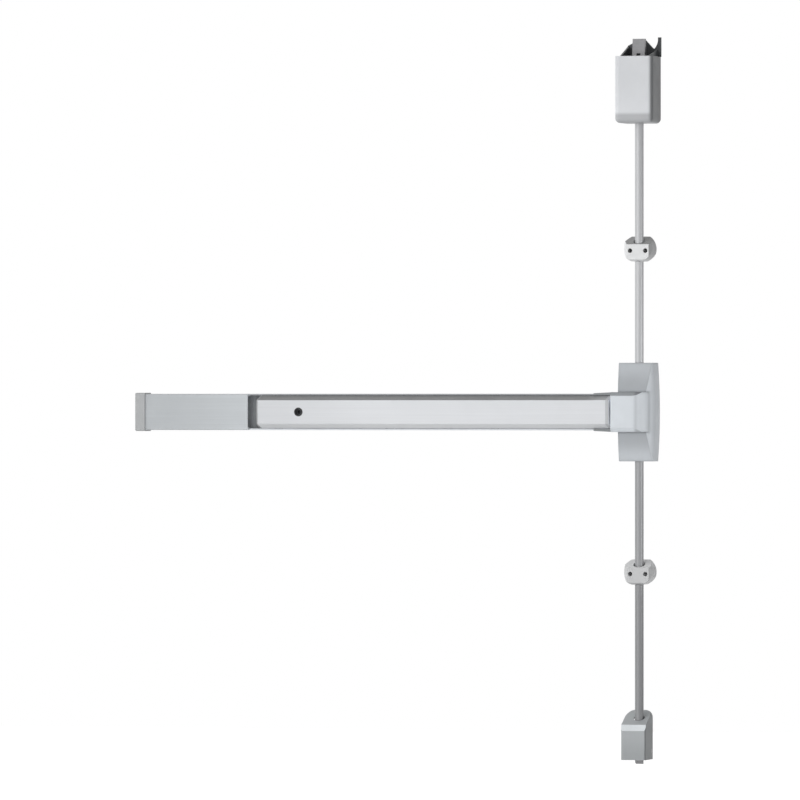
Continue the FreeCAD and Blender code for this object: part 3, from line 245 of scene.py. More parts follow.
def maths(tree, operation, first, second, clamp=False):
    """A sum, difference or product of two sockets or numbers."""
    made = node(tree, "ShaderNodeMath", operation=operation, use_clamp=clamp)
    put(tree, first, made.inputs[0])
    put(tree, second, made.inputs[1])
    return made.outputs[0]


def dot(tree, first, second):
    """How far one vector reaches along another."""
    made = node(tree, "ShaderNodeVectorMath", operation="DOT_PRODUCT")
    put(tree, first, made.inputs[0])
    put(tree, second, made.inputs[1])
    return made.outputs["Value"]


def ramp(tree, value, low, high):
    """Smooth rise from 0 at low to 1 at high."""
    made = node(tree, "ShaderNodeMapRange", interpolation_type="SMOOTHSTEP")
    put(tree, value, made.inputs["Value"])
    put(tree, low, made.inputs["From Min"])
    put(tree, high, made.inputs["From Max"])
    return made.outputs["Result"]


def noise(tree, vector, scale, detail=3.0, rough=0.55):
    """Cloudy noise; a higher scale makes it finer."""
    made = node(tree, "ShaderNodeTexNoise", noise_dimensions="3D")
    made.inputs["Scale"].default_value = scale
    made.inputs["Detail"].default_value = detail
    made.inputs["Roughness"].default_value = rough
    tree.links.new(vector, made.inputs["Vector"])
    return made.outputs["Fac"]


def weighted(tree, first, second, share):
    """Two patterns added, the first with the given share and the second with the rest."""
    parts = (maths(tree, "MULTIPLY", first, share), maths(tree, "MULTIPLY", second, 1.0 - share))
    return maths(tree, "ADD", *parts)


# A Mix node's sockets for colours and for numbers: the two that go in and the one that comes out
MIX_SOCKETS = {"RGBA": (6, 7, 2), "FLOAT": (2, 3, 0)}


def blend(tree, factor, first, second, kind="RGBA"):
    """A mix of two colours or two numbers."""
    made = node(tree, "ShaderNodeMix", data_type=kind)
    into_first, into_second, out = MIX_SOCKETS[kind]
    tree.links.new(factor, made.inputs[0])
    for index, value in ((into_first, first), (into_second, second)):
        if isinstance(value, tuple):
            value = (*value, 1.0)
        put(tree, value, made.inputs[index])
    return made.outputs[out]


def surface_normal(tree):
    """The way that the surface faces."""
    return node(tree, "ShaderNodeNewGeometry").outputs["Normal"]


def object_place(tree):
    """The place on the piece, in metres."""
    return node(tree, "ShaderNodeTexCoord").outputs["Object"]


# Shader groups

RIGHT = (1.0, 0.0, 0.0)
FRONT = (0.0, -1.0, 0.0)
UP = (0.0, 0.0, 1.0)


def new_group(name, inputs, outputs):
    """A shader group with named sockets; inputs are (name, type, default)."""
    tree = bpy.data.node_groups.new(name, "ShaderNodeTree")
    for title, kind, default in inputs:
        socket = tree.interface.new_socket(
            name=title, in_out="INPUT", socket_type="NodeSocket" + kind
        )
        if default is not None:
            socket.default_value = default
    for title, kind in outputs:
        tree.interface.new_socket(name=title, in_out="OUTPUT", socket_type="NodeSocket" + kind)
    return tree, node(tree, "NodeGroupInput"), node(tree, "NodeGroupOutput")


def drawn_lines_group():
    """Fine lines that a die leaves along an extrusion or a drawn bar."""
    tree, start, end = new_group(
        "Drawn Lines",
        [("Vector", "Vector", None), ("Spread", "Vector", (5.0, 900.0, 900.0))],
        [("Tone", "Float"), ("Height", "Float")],
    )
    stretched = node(tree, "ShaderNodeVectorMath", operation="MULTIPLY")
    tree.links.new(start.outputs["Vector"], stretched.inputs[0])
    tree.links.new(start.outputs["Spread"], stretched.inputs[1])
    fine = noise(tree, stretched.outputs[0], scale=1.0, detail=4.0, rough=0.6)
    broad = noise(tree, stretched.outputs[0], scale=0.16, detail=2.0)
    mixed = weighted(tree, fine, broad, share=0.65)
    tree.links.new(ramp(tree, mixed, low=0.32, high=0.68), end.inputs["Tone"])
    tree.links.new(fine, end.inputs["Height"])
    return tree


def sprayed_coat_group():
    """Grain and flecks of a sprayed metallic coat, with its slow drift in shade."""
    tree, start, end = new_group(
        "Sprayed Coat",
        [("Vector", "Vector", None)],
        [("Tone", "Float"), ("Flecks", "Float"), ("Height", "Float")],
    )
    vector = start.outputs["Vector"]
    grain = noise(tree, vector, scale=1500.0, detail=2.0)
    drift = noise(tree, vector, scale=22.0)
    mixed = weighted(tree, grain, drift, share=0.5)
    tree.links.new(ramp(tree, mixed, low=0.34, high=0.66), end.inputs["Tone"])
    cells = node(tree, "ShaderNodeTexVoronoi", feature="F1")
    cells.inputs["Scale"].default_value = 2600.0
    tree.links.new(vector, cells.inputs["Vector"])
    flecks = ramp(tree, cells.outputs["Distance"], low=0.26, high=0.10)
    tree.links.new(flecks, end.inputs["Flecks"])
    peel = noise(tree, vector, scale=620.0, detail=2.0)
    height = maths(tree, "ADD", peel, maths(tree, "MULTIPLY", grain, 0.4))
    tree.links.new(height, end.inputs["Height"])
    return tree


def edge_wear_group():
    """Rubbed edges, broken up by noise, and a normal that turns softly round them."""
    tree, start, end = new_group(
        "Edge Wear",
        [
            ("Vector", "Vector", None),
            ("Radius", "Float", 0.0006),
            ("Round", "Float", 0.0006),
            ("Amount", "Float", 0.35),
        ],
        [("Mask", "Float"), ("Normal", "Vector")],
    )
    near = node(tree, "ShaderNodeBevel", samples=6)
    tree.links.new(start.outputs["Radius"], near.inputs["Radius"])
    rounded = node(tree, "ShaderNodeBevel", samples=8)
    tree.links.new(start.outputs["Round"], rounded.inputs["Radius"])
    alike = dot(tree, near.outputs["Normal"], surface_normal(tree))
    edge = ramp(tree, maths(tree, "SUBTRACT", 1.0, alike), low=0.01, high=0.16)
    rubbing = noise(tree, start.outputs["Vector"], scale=160.0, detail=4.0, rough=0.65)
    broken = ramp(tree, rubbing, low=0.38, high=0.62)
    worn = maths(tree, "MULTIPLY", maths(tree, "MULTIPLY", edge, broken), start.outputs["Amount"])
    tree.links.new(worn, end.inputs["Mask"])
    tree.links.new(rounded.outputs["Normal"], end.inputs["Normal"])
    return tree


def handling_group():
    """Faint smears, and dust that settles on faces that look up."""
    tree, start, end = new_group(
        "Handling",
        [("Vector", "Vector", None)],
        [("Smear", "Float"), ("Dust", "Float")],
    )
    vector = start.outputs["Vector"]
    warp = noise(tree, vector, scale=9.0)
    wiped = noise(tree, vector, scale=34.0, detail=5.0, rough=0.6)
    smear = maths(tree, "MULTIPLY", ramp(tree, wiped, low=0.42, high=0.72), warp)
    tree.links.new(smear, end.inputs["Smear"])
    upward = ramp(tree, dot(tree, surface_normal(tree), UP), low=0.55, high=1.0)
    grit = noise(tree, vector, scale=420.0, detail=4.0, rough=0.7)
    dust = maths(tree, "MULTIPLY", upward, ramp(tree, grit, low=0.40, high=0.75))
    tree.links.new(dust, end.inputs["Dust"])
    return tree


def zone_group():
    """Mask that rises along a way, for a stretch of a piece or for a side that faces that way."""
    tree, start, end = new_group(
        "Zone",
        [
            ("Vector", "Vector", None),
            ("Along", "Vector", UP),
            ("Low", "Float", 0.0),
            ("High", "Float", 1.0),
        ],
        [("Mask", "Float")],
    )
    along = dot(tree, start.outputs["Vector"], start.outputs["Along"])
    mask = ramp(tree, along, start.outputs["Low"], start.outputs["High"])
    tree.links.new(mask, end.inputs["Mask"])
    return tree


GROUP_MAKERS = {
    "Drawn Lines": drawn_lines_group,
    "Sprayed Coat": sprayed_coat_group,
    "Edge Wear": edge_wear_group,
    "Handling": handling_group,
    "Zone": zone_group,
}
GROUPS = {}


def place_group(tree, name, vector, **values):
    """Places a shader group, built once, with values of its own."""
    if name not in GROUPS:
        GROUPS[name] = GROUP_MAKERS[name]()
    made = node(tree, "ShaderNodeGroup", node_tree=GROUPS[name])
    tree.links.new(vector, made.inputs["Vector"])
    for title, value in values.items():
        made.inputs[title].default_value = value
    return made


# Zones of a finish go by place, in metres, or by the way that the surface faces: then come the way,
# where the mask is 0 and where it is 1.

TOP_SLOPE = ("faces", UP, 0.30, 0.60)
LOW_SLOPE = ("faces", UP, -0.30, -0.60)
RIGHT_SIDE = ("faces", RIGHT, 0.25, 0.75)
ALL_BUT_RIGHT_SIDE = ("faces", RIGHT, 0.75, 0.25)
STRAIGHT_FRONT = ("faces", FRONT, 0.5, 0.8)
UPPER_HALF = ("place", UP, 0.0, 0.2)
LOWER_HALF = ("place", UP, 0.0, -0.2)

PAD_TOP_FLANK = ("place", UP, 0.0190, 0.0202)
PAD_LOW_FLANK = ("place", UP, -0.0190, -0.0202)
PAD_RIGHT_END = ("place", RIGHT, -0.085, -0.055)
PAD_LEFT_END = ("place", RIGHT, -0.42, -0.63)
LEFT_PAD_CAP = ("place", RIGHT, -0.60, -0.61)
CAP_END = ("faces", RIGHT, 0.7, 0.95)

COVER_RIGHT_HALF = ("place", RIGHT, -0.80, -0.66)
COVER_RIGHT_EDGE = ("faces", RIGHT, 0.5, 0.8)

LIP_FRONT = ("faces", FRONT, 0.4, 0.7)
TOP_LIP = ("place", UP, 0.0262, 0.0272)
LOW_LIP = ("place", UP, -0.0262, -0.0272)
BESIDE_COVER = ("place", RIGHT, -0.665, -0.660)
BEHIND_PAD = ("place", FRONT, 0.029, 0.026)
CHANNEL_FLOOR = ("faces", FRONT, 0.3, 0.6)
PAD_GAP = ("place", RIGHT, -0.638, -0.642)
PAD_GAP_LEFT_END = ("place", RIGHT, -0.654, -0.668)

CASE_TOP_END = ("place", UP, 0.045, 0.075)
CASE_LOW_END = ("place", UP, -0.045, -0.075)
CASE_FRONT = ("faces", RIGHT, 0.45, 0.10)
CASE_RIGHT_FACET = ("faces", RIGHT, 0.10, 0.45)
NOSE = ("place", FRONT, 0.0455, 0.0500)
NOSE_BEND = ("place", RIGHT, -0.003, 0.003)
NOSE_RIGHT_END = ("place", RIGHT, 0.010, 0.021)

LATCH_LOW_PART = ("place", UP, 0.560, 0.490)
LATCH_FOOT = ("place", UP, 0.4925, 0.4850)
LOW_LATCH_LOW_PART = ("place", UP, -0.525, -0.565)
BAND_FROM_BELOW = ("faces", UP, 0.15, 0.30)
BAND_FROM_ABOVE = ("faces", UP, 0.75, 0.60)
BELOW_LOW_GUIDE = ("place", UP, -0.235, -0.300)

# Painted light and shade: where a finish is painted paler or darker than the rest of its piece,
# standing in for how light falls there: a factor, and the zones that overlap there
PAINTED_LIGHT_PATCHES = {
    "Pad Aluminium": [
        # Push pad: painted shade on the top flank, lifted again near its right end; painted light
        # on the low flank; painted shade towards the left end
        (0.27, [PAD_TOP_FLANK]),
        (2.00, [PAD_TOP_FLANK, PAD_RIGHT_END]),
        (1.10, [PAD_LOW_FLANK]),
        (0.89, [PAD_LEFT_END]),
    ],
    "Grey Nylon": [
        # End caps: the left cap's end is painted shade; faces looking right, into the shaded gap by
        # the nose, get painted light
        (0.60, [LEFT_PAD_CAP]),
        (2.00, [CAP_END]),
    ],
    "Cover Aluminium": [
        # Cover plate: painted light on its right half and on the end face that looks right
        (1.18, [COVER_RIGHT_HALF]),
        (2.20, [COVER_RIGHT_EDGE]),
    ],
    "Channel Aluminium": [
        # Channel: lip fronts painted a little darker above and painted light below; the floor
        # behind the pad painted darker from its left end and painted much paler in the shaded
        # recess at the cover's end
        (0.95, [TOP_LIP, LIP_FRONT, BESIDE_COVER]),
        (1.80, [LOW_LIP, LIP_FRONT, BESIDE_COVER]),
        (0.90, [BEHIND_PAD, PAD_GAP, CHANNEL_FLOOR]),
        (2.50, [BEHIND_PAD, PAD_GAP_LEFT_END, CHANNEL_FLOOR]),
    ],
    "Adapter Casting": [
        # Adapter: painted light on its top slope
        (2.40, [TOP_SLOPE]),
    ],
    "Head Casting": [
        # Centre case: painted light on the front towards its ends, on the nose, on the facet
        # looking right and on the nose's low slope; painted shade on the nose's bend and top slope
        (1.20, [CASE_TOP_END, CASE_FRONT]),
        (1.32, [CASE_LOW_END, CASE_FRONT]),
        (1.66, [NOSE]),
        (0.65, [NOSE, NOSE_BEND]),
        (1.05, [NOSE, NOSE_RIGHT_END]),
        (1.50, [CASE_RIGHT_FACET]),
        (0.48, [TOP_SLOPE, NOSE]),
        (1.10, [LOW_SLOPE, NOSE]),
    ],
    "Latch Casting": [
        # Top latch cover: painted paler down its lower part; painted shade on the side looking
        # right and on the foot band
        (1.06, [LATCH_LOW_PART]),
        (0.36, [RIGHT_SIDE]),
        (0.66, [LATCH_FOOT, ALL_BUT_RIGHT_SIDE]),
    ],
    "Low Latch Casting": [
        # Bottom latch cover: a painted highlight on the sloped band of the front's top edge;
        # painted shade on the lower front and on the side looking right
        (1.75, [BAND_FROM_BELOW, BAND_FROM_ABOVE, STRAIGHT_FRONT]),
        (0.86, [LOW_LATCH_LOW_PART, STRAIGHT_FRONT]),
        (0.65, [RIGHT_SIDE]),
    ],
    "Guide Casting": [
        # Rod guides: the lower guide painted darker as shade; painted shade on the upper guide's
        # top slope and right side; painted light on the lower guide's top slope
        (0.78, [LOWER_HALF]),
        (0.40, [TOP_SLOPE, UPPER_HALF]),
        (1.30, [TOP_SLOPE, LOWER_HALF]),
        (0.62, [RIGHT_SIDE, UPPER_HALF]),
    ],
    "Low Rod Steel": [
        # Lower rod: painted shade below the lower guide
        (0.84, [BELOW_LOW_GUIDE]),
    ],
}


# Materials

# How far the pattern of drawn lines is squeezed along each axis
ALONG_BAR = (5.0, 900.0, 900.0)
ALONG_ROD = (900.0, 900.0, 5.0)
ROLLED = (60.0, 700.0, 160.0)

# Each metal: its colour's setting, roughness, metallic, specular level, squeeze of its drawn lines
# (None for a sprayed coat), share of the edge wear, contrast of its pattern, strength of its grain
METALS = {
    "Pad Aluminium": ("pad", 0.40, 0.10, 0.30, ALONG_BAR, 1.0, 0.035, 0.10),
    "Cover Aluminium": ("cover", 0.42, 0.10, 0.30, ALONG_BAR, 1.0, 0.045, 0.10),
    "Channel Aluminium": ("channel", 0.42, 0.10, 0.30, ALONG_BAR, 1.0, 0.04, 0.10),
    "End Cap Casting": ("end_cap", 0.48, 0.06, 0.25, None, 1.0, 0.05, 0.14),
    "Head Casting": ("case", 0.46, 0.06, 0.22, None, 1.0, 0.045, 0.14),
    "Latch Casting": ("latch", 0.46, 0.06, 0.20, None, 1.0, 0.035, 0.14),
    "Low Latch Casting": ("low_latch", 0.46, 0.06, 0.22, None, 1.0, 0.045, 0.14),
    "Guide Casting": ("guide", 0.44, 0.06, 0.22, None, 1.0, 0.035, 0.16),
    "Adapter Casting": ("adapter", 0.50, 0.06, 0.25, None, 0.8, 0.06, 0.16),
    "Rod Steel": ("rod", 0.36, 0.20, 0.35, ALONG_ROD, 0.5, 0.05, 0.12),
    "Low Rod Steel": ("low_rod", 0.36, 0.20, 0.35, ALONG_ROD, 0.5, 0.05, 0.12),
    "Blackened Steel": ("black", 0.46, 0.20, 0.25, ROLLED, 1.0, 0.10, 0.14),
    "Plated Steel": ("plated", 0.36, 0.45, 0.50, ROLLED, 1.0, 0.07, 0.14),
    "Screw Steel": ("bright", 0.30, 0.60, 0.50, ROLLED, 1.0, 0.06, 0.10),
    "Hardened Steel": ("hard", 0.40, 0.30, 0.35, ROLLED, 1.0, 0.08, 0.16),
    "Spring Steel": ("spring", 0.34, 0.60, 0.50, ROLLED, 0.0, 0.10, 0.08),
}

# Each plastic: its colour's setting and roughness
PLASTICS = {
    "Black Nylon": ("nylon", 0.52),
    "Grey Nylon": ("cap", 0.50),
    "Bumper Rubber": ("rubber", 0.75),
}

# Radius over which edges are rubbed and turn softly, and the finishes that turn more softly
EDGE_RADIUS = 0.0005
SOFT_EDGES = {"Head Casting": 0.006}
GRAIN_HEIGHT = 0.0002
FLECK_LIFT = 2.2
DUST = tone(196, 194, 188)
DUST_SHARE = 0.18
WORN_LIFT = 1.25
WORN_GLOSS = 0.28
GLOSS_SPREAD = 0.04
SMEAR_ROUGHNESS = 0.14

PLASTIC_EDGE_RADIUS = 0.0004
PLASTIC_WEAR = 0.25
PLASTIC_WORN_LIFT = 1.6
PLASTIC_CONTRAST = 0.12
PLASTIC_SMEAR_ROUGHNESS = 0.12
PLASTIC_GRAIN = 0.15

MATERIALS = {}


def shaded(base, factor):
    """A colour made paler or darker."""
    return tuple(min(1.0, part * factor) for part in base)


def scaled(tree, base, level):
    """The base colour made paler or darker all over the surface by a changing level."""
    made = node(tree, "ShaderNodeVectorMath", operation="SCALE")
    made.inputs[0].default_value = base
    tree.links.new(level, made.inputs["Scale"])
    return made.outputs[0]


def painted_light_and_shade(tree, name, coordinates, level):
    """The finish's lightness with its painted light and painted shade: zones painted paler or
    darker.
    """
    sources = {"place": coordinates, "faces": surface_normal(tree)}
    for factor, zones in PAINTED_LIGHT_PATCHES.get(name, ()):
        shift = None
        for source, way, low, high in zones:
            zone = place_group(tree, "Zone", sources[source], Along=way, Low=low, High=high)
            mask = zone.outputs["Mask"]
            shift = mask if shift is None else maths(tree, "MULTIPLY", shift, mask)
        level = maths(tree, "MULTIPLY", level, blend(tree, shift, 1.0, factor, "FLOAT"))
    return level


def new_material(name):
    """A material with its node tree and its shader."""
    material = bpy.data.materials.new(name)
    material.use_nodes = True
    return material, material.node_tree, material.node_tree.nodes["Principled BSDF"]


def add_grain(tree, shader, height, strength, normal):
    """Bumps the surface by a height, over a normal that is soft at the edges."""
    raised = node(tree, "ShaderNodeBump")
    raised.inputs["Strength"].default_value = strength
    raised.inputs["Distance"].default_value = GRAIN_HEIGHT
    tree.links.new(height, raised.inputs["Height"])
    tree.links.new(normal, raised.inputs["Normal"])
    tree.links.new(raised.outputs["Normal"], shader.inputs["Normal"])


def metal_surface(name, base, rough, metallic, shine, squeeze, wear, contrast, grain):
    """One metal finish: its colour with painted light and painted shade, gloss, drawn lines or
    sprayed coat, and worn edges.
    """
    material, tree, shader = new_material(name)
    coordinates = object_place(tree)
    if squeeze:
        texture = place_group(tree, "Drawn Lines", coordinates, Spread=squeeze)
    else:
        texture = place_group(tree, "Sprayed Coat", coordinates)
    handling = place_group(tree, "Handling", coordinates)
    turn = SOFT_EDGES.get(name, EDGE_RADIUS)
    worn = place_group(
        tree, "Edge Wear", coordinates, Radius=EDGE_RADIUS, Round=turn, Amount=wear
    )
    level = blend(tree, texture.outputs["Tone"], 1.0 - contrast, 1.0 + contrast, "FLOAT")
    if not squeeze:
        bright = 1.0 + FLECK_LIFT * contrast
        level = blend(tree, texture.outputs["Flecks"], level, bright, "FLOAT")
    # The base colour takes its painted light and painted shade here
    shade = scaled(tree, base, painted_light_and_shade(tree, name, coordinates, level))
    dusty = maths(tree, "MULTIPLY", handling.outputs["Dust"], DUST_SHARE)
    shade = blend(tree, dusty, shade, DUST)
    shade = blend(tree, worn.outputs["Mask"], shade, shaded(base, WORN_LIFT))
    tree.links.new(shade, shader.inputs["Base Color"])
    sheer, dull = rough - GLOSS_SPREAD, rough + GLOSS_SPREAD
    gloss = blend(tree, texture.outputs["Tone"], sheer, dull, "FLOAT")
    gloss = blend(tree, handling.outputs["Smear"], gloss, rough + SMEAR_ROUGHNESS, "FLOAT")
    gloss = blend(tree, worn.outputs["Mask"], gloss, WORN_GLOSS, "FLOAT")
    tree.links.new(gloss, shader.inputs["Roughness"])
    shader.inputs["Metallic"].default_value = metallic
    shader.inputs["Specular IOR Level"].default_value = shine
    add_grain(tree, shader, texture.outputs["Height"], grain, worn.outputs["Normal"])
    return material


def plastic_surface(name, base, rough):
    """Moulded plastic or rubber with a fine eroded grain, and its painted light and painted shade.
    """
    material, tree, shader = new_material(name)
    coordinates = object_place(tree)
    coat = place_group(tree, "Sprayed Coat", coordinates)
    handling = place_group(tree, "Handling", coordinates)
    radius = PLASTIC_EDGE_RADIUS
    worn = place_group(
        tree, "Edge Wear", coordinates, Radius=radius, Round=radius, Amount=PLASTIC_WEAR
    )
    dark, pale = 1.0 - PLASTIC_CONTRAST, 1.0 + PLASTIC_CONTRAST
    level = blend(tree, coat.outputs["Tone"], dark, pale, "FLOAT")
    # The base colour takes its painted light and painted shade here
    shade = scaled(tree, base, painted_light_and_shade(tree, name, coordinates, level))
    shade = blend(tree, worn.outputs["Mask"], shade, shaded(base, PLASTIC_WORN_LIFT))
    tree.links.new(shade, shader.inputs["Base Color"])
    smeared = rough + PLASTIC_SMEAR_ROUGHNESS
    gloss = blend(tree, handling.outputs["Smear"], rough, smeared, "FLOAT")
    tree.links.new(gloss, shader.inputs["Roughness"])
    add_grain(tree, shader, coat.outputs["Height"], PLASTIC_GRAIN, worn.outputs["Normal"])
    return material


def finish_named(name):
    """The device's finishes, each built once from the panel's colours."""
    if name in MATERIALS:
        return MATERIALS[name]
    look = bpy.context.scene.exit_device_finish
    if name in METALS:
        setting, rough, metallic, shine, squeeze, share, contrast, grain = METALS[name]
        base = tuple(getattr(look, setting))
        made = metal_surface(
            name, base, rough, metallic, shine, squeeze, share * look.wear, contrast, grain
        )
    else:
        setting, rough = PLASTICS[name]
        made = plastic_surface(name, tuple(getattr(look, setting)), rough)
    MATERIALS[name] = made
    return made


def dress(name, *nodes):
    """Gives CAD nodes a finish."""
    material = finish_named(name)
    for title in nodes:
        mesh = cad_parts[title].data
        mesh.materials.clear()
        mesh.materials.append(material)


# Small parts

# Distances within which vertices are one
MERGE = 1e-7
CAD_MERGE = 1e-6

# Angles in degrees past which an edge is kept sharp
SHARP_ANGLE = 35.0
WIRE_SHARP_ANGLE = 60.0

# How finely round parts are divided
HEAD_SIDES = 24
RIM_STEPS = 48
WIRE_SIDES = 10
STEPS_PER_TURN = 20

# How much a screw's recess and point narrow, and how far the recesses are turned, in radians
RECESS_TAPER = 0.75
POINT_TAPER = 0.5
FIRST_TURN = 0.5
TURN_STEP = 1.3

# Rise of a spring's closed end turns, in wire radii
CLOSED_RISE = 2.2


def finished_piece(name, mesh, material, body, replaced=(), sharp=SHARP_ANGLE):
    """Turns a mesh into a piece of the device, smooth with its sharp edges kept."""
    bmesh.ops.remove_doubles(mesh, verts=mesh.verts, dist=MERGE)
    bmesh.ops.recalc_face_normals(mesh, faces=mesh.faces)
    data = bpy.data.meshes.new(name)
    mesh.to_mesh(data)
    mesh.free()
    data.materials.append(finish_named(material))
    for face in data.polygons:
        face.use_smooth = True
    data.set_sharp_from_angle(angle=math.radians(sharp))
    piece = bpy.data.objects.new(name, data)
    bpy.context.scene.collection.objects.link(piece)
    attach(piece, body)
    if replaced:
        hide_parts(*replaced)
    return piece


def once_each(items):
    """The items in their order, each only once."""
    return list(dict.fromkeys(items))


def of_kind(items, kind):
    """The vertices or the edges among an operator's results."""
    return [item for item in items if isinstance(item, getattr(bmesh.types, "BM" + kind))]


def solids_of(title):
    """Lowest and highest corner of each separate solid in a CAD node."""
    mesh = bmesh.new()
    mesh.from_mesh(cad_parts[title].data)
    bmesh.ops.remove_doubles(mesh, verts=mesh.verts, dist=CAD_MERGE)
    seen = set()
    boxes = []
    for vert in mesh.verts:
        if vert in seen:
            continue
        stack = [vert]
        seen.add(vert)
        low = vert.co.copy()
        high = vert.co.copy()
        while stack:
            here = stack.pop()
            low = Vector(map(min, low, here.co))
            high = Vector(map(max, high, here.co))
            for edge in here.link_edges:
                other = edge.other_vert(here)
                if other not in seen:
                    seen.add(other)
                    stack.append(other)
        boxes.append((low, high))
    mesh.free()
    return sorted(boxes, key=lambda pair: tuple(pair[0]))


def cross_screw(mesh, top, way, reach, turned):
    """A countersunk screw with a cross recess: its head starts at top and it points along way."""
    size = bpy.context.scene.exit_device_sizes
    first = len(mesh.verts)
    half = size.recess_width / 2
    core = bmesh.ops.create_grid(mesh, x_segments=1, y_segments=1, size=half)["verts"]
    for edge in once_each(edge for vert in core for edge in vert.link_edges):
        out = (edge.verts[0].co + edge.verts[1].co).normalized()
        grown = bmesh.ops.extrude_edge_only(mesh, edges=[edge])["geom"]
        arm = out * (size.recess_arm - half)
        bmesh.ops.translate(mesh, verts=of_kind(grown, "Vert"), vec=arm)
    cross = once_each(face for vert in core for face in vert.link_faces)
    cross_edges = once_each(edge for face in cross for edge in face.edges)
    rim = [edge for edge in cross_edges if len(edge.link_faces) == 1]
    ring = bmesh.ops.create_circle(
        mesh, segments=HEAD_SIDES, radius=size.screw_head, cap_ends=False
    )["verts"]
    edges = once_each(edge for vert in ring for edge in vert.link_edges)
    bmesh.ops.bridge_loops(mesh, edges=rim + edges)
    sunk = of_kind(bmesh.ops.extrude_face_region(mesh, geom=cross)["geom"], "Vert")
    bmesh.ops.delete(mesh, geom=cross, context="FACES")
    bmesh.ops.translate(mesh, verts=sunk, vec=(0, 0, size.recess_depth))
    bmesh.ops.scale(mesh, verts=sunk, vec=(RECESS_TAPER, RECESS_TAPER, 1.0))
    point = size.screw_shank / 2
    steps = (
        (size.screw_shank / size.screw_head, size.head_depth),
        (1.0, reach - size.head_depth - point),
        (POINT_TAPER, point),
    )
    for shrink, step in steps:
        grown = bmesh.ops.extrude_edge_only(mesh, edges=edges)["geom"]
        new = of_kind(grown, "Vert")
        edges = [edge for edge in of_kind(grown, "Edge") if set(new).issuperset(edge.verts)]
        bmesh.ops.translate(mesh, verts=new, vec=(0, 0, step))
        bmesh.ops.scale(mesh, verts=new, vec=(shrink, shrink, 1.0))
    bmesh.ops.contextual_create(mesh, geom=edges)
    mesh.verts.ensure_lookup_table()
    turn = Vector((0, 0, 1)).rotation_difference(Vector(way)).to_matrix().to_4x4()
    place = Matrix.Translation(Vector(top)) @ turn @ Matrix.Rotation(turned, 4, "Z")
    bmesh.ops.transform(mesh, matrix=place, verts=mesh.verts[first:])


def screw_piece(name, replaced, way_of):
    """Cross-recess screws in the places of a CAD node's plain ones."""
    mesh = bmesh.new()
    for index, (low, high) in enumerate(solids_of(replaced)):
        way = Vector(way_of(low, high))
        along = abs(((high - low) / 2).dot(way))
        top = (low + high) / 2 - way * along
        cross_screw(mesh, top, way, 2 * along, FIRST_TURN + TURN_STEP * index)
    finished_piece(name, mesh, "Screw Steel", "root", [replaced])


def coil(mesh, foot, tip, radius, wire, turns):
    """A compression spring from foot to tip, its end turns closed."""
    rise = tip - foot
    start = bmesh.ops.create_circle(mesh, segments=WIRE_SIDES, radius=wire, cap_ends=True)["verts"]
    along = rise.normalized()
    side = along.orthogonal().normalized()
    front = along.cross(side)
    turn = Matrix((side, along, -front)).transposed().to_4x4()
    place = Matrix.Translation(foot + side * radius + along * wire) @ turn
    bmesh.ops.transform(mesh, matrix=place, verts=start)
    closed = CLOSED_RISE * wire
    free = rise.length - 2 * wire - 2 * closed
    near = (item for vert in start for item in (vert, *vert.link_edges, *vert.link_faces))
    geom = once_each(near)
    for count, climb in ((1.0, closed), (turns - 2.0, free), (1.0, closed)):
        steps = int(round(STEPS_PER_TURN * count))
        made = bmesh.ops.spin(
            mesh,
            geom=geom,
            cent=foot,
            axis=along,
            dvec=along * (climb / steps),
            angle=2 * math.pi * count,
            steps=steps,
            use_duplicate=False,
        )
        geom = made["geom_last"]


# Operators


class EXITDEVICE_OT_bar(bpy.types.Operator):
    """Finish the bar: channel, cover plate, end cap, push pad and adapter"""

    bl_idname = "exit_device.bar"
    bl_label = "Bar"

    def execute(self, context):
        dress("Pad Aluminium", "push_pad")
        dress("Cover Aluminium", "cover_plate")
        dress("Channel Aluminium", "channel")
        dress("End Cap Casting", "end_cap")
        dress("Adapter Casting", "head_adapter")
        dress("Grey Nylon", "pad_end_cap_left", "pad_end_cap_right")
        dress("Black Nylon", "dogging_bushing", "draw_bar_guides")
        dress("Bumper Rubber", "pad_bumpers")
        return {"FINISHED"}


class EXITDEVICE_OT_bar_works(bpy.types.Operator):
    """Finish the brackets, cranks, draw bar and dogging parts inside the bar"""

    bl_idname = "exit_device.bar_works"
    bl_label = "Bar mechanism"

    def execute(self, context):
        dress(
            "Plated Steel",
            "end_bracket",
            "joint_plate",
            "crank_bracket_left",
            "crank_bracket_right",
            "pad_lug_left",
            "pad_lug_right",
            "draw_bar",
            "dogging_catch",
        )
        dress("Screw Steel", "joint_screws", "bracket_rivets", "crank_pivot_pins", "pad_lug_pins")
        dress("Screw Steel", "draw_bar_pins", "spring_posts")
        dress("Blackened Steel", "dogging_spindle")
        dress("Hardened Steel", "crank_left", "crank_right", "draw_head")
        return {"FINISHED"}


class EXITDEVICE_OT_springs(bpy.types.Operator):
    """Coil the return springs behind the push pad"""

    bl_idname = "exit_device.springs"
    bl_label = "Return springs"

    def execute(self, context):
        size = context.scene.exit_device_sizes
        mesh = bmesh.new()
        for low, high in solids_of("return_springs"):
            middle = (low + high) / 2
            foot = Vector((middle.x, high.y, middle.z))
            tip = Vector((middle.x, low.y, middle.z))
            coil(mesh, foot, tip, size.spring_radius, size.spring_wire, size.spring_turns)
        piece = finished_piece(
            "return_spring_coils",
            mesh,
            "Spring Steel",
            "root",
            ["return_springs"],
            WIRE_SHARP_ANGLE,
        )
        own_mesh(piece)
        return {"FINISHED"}


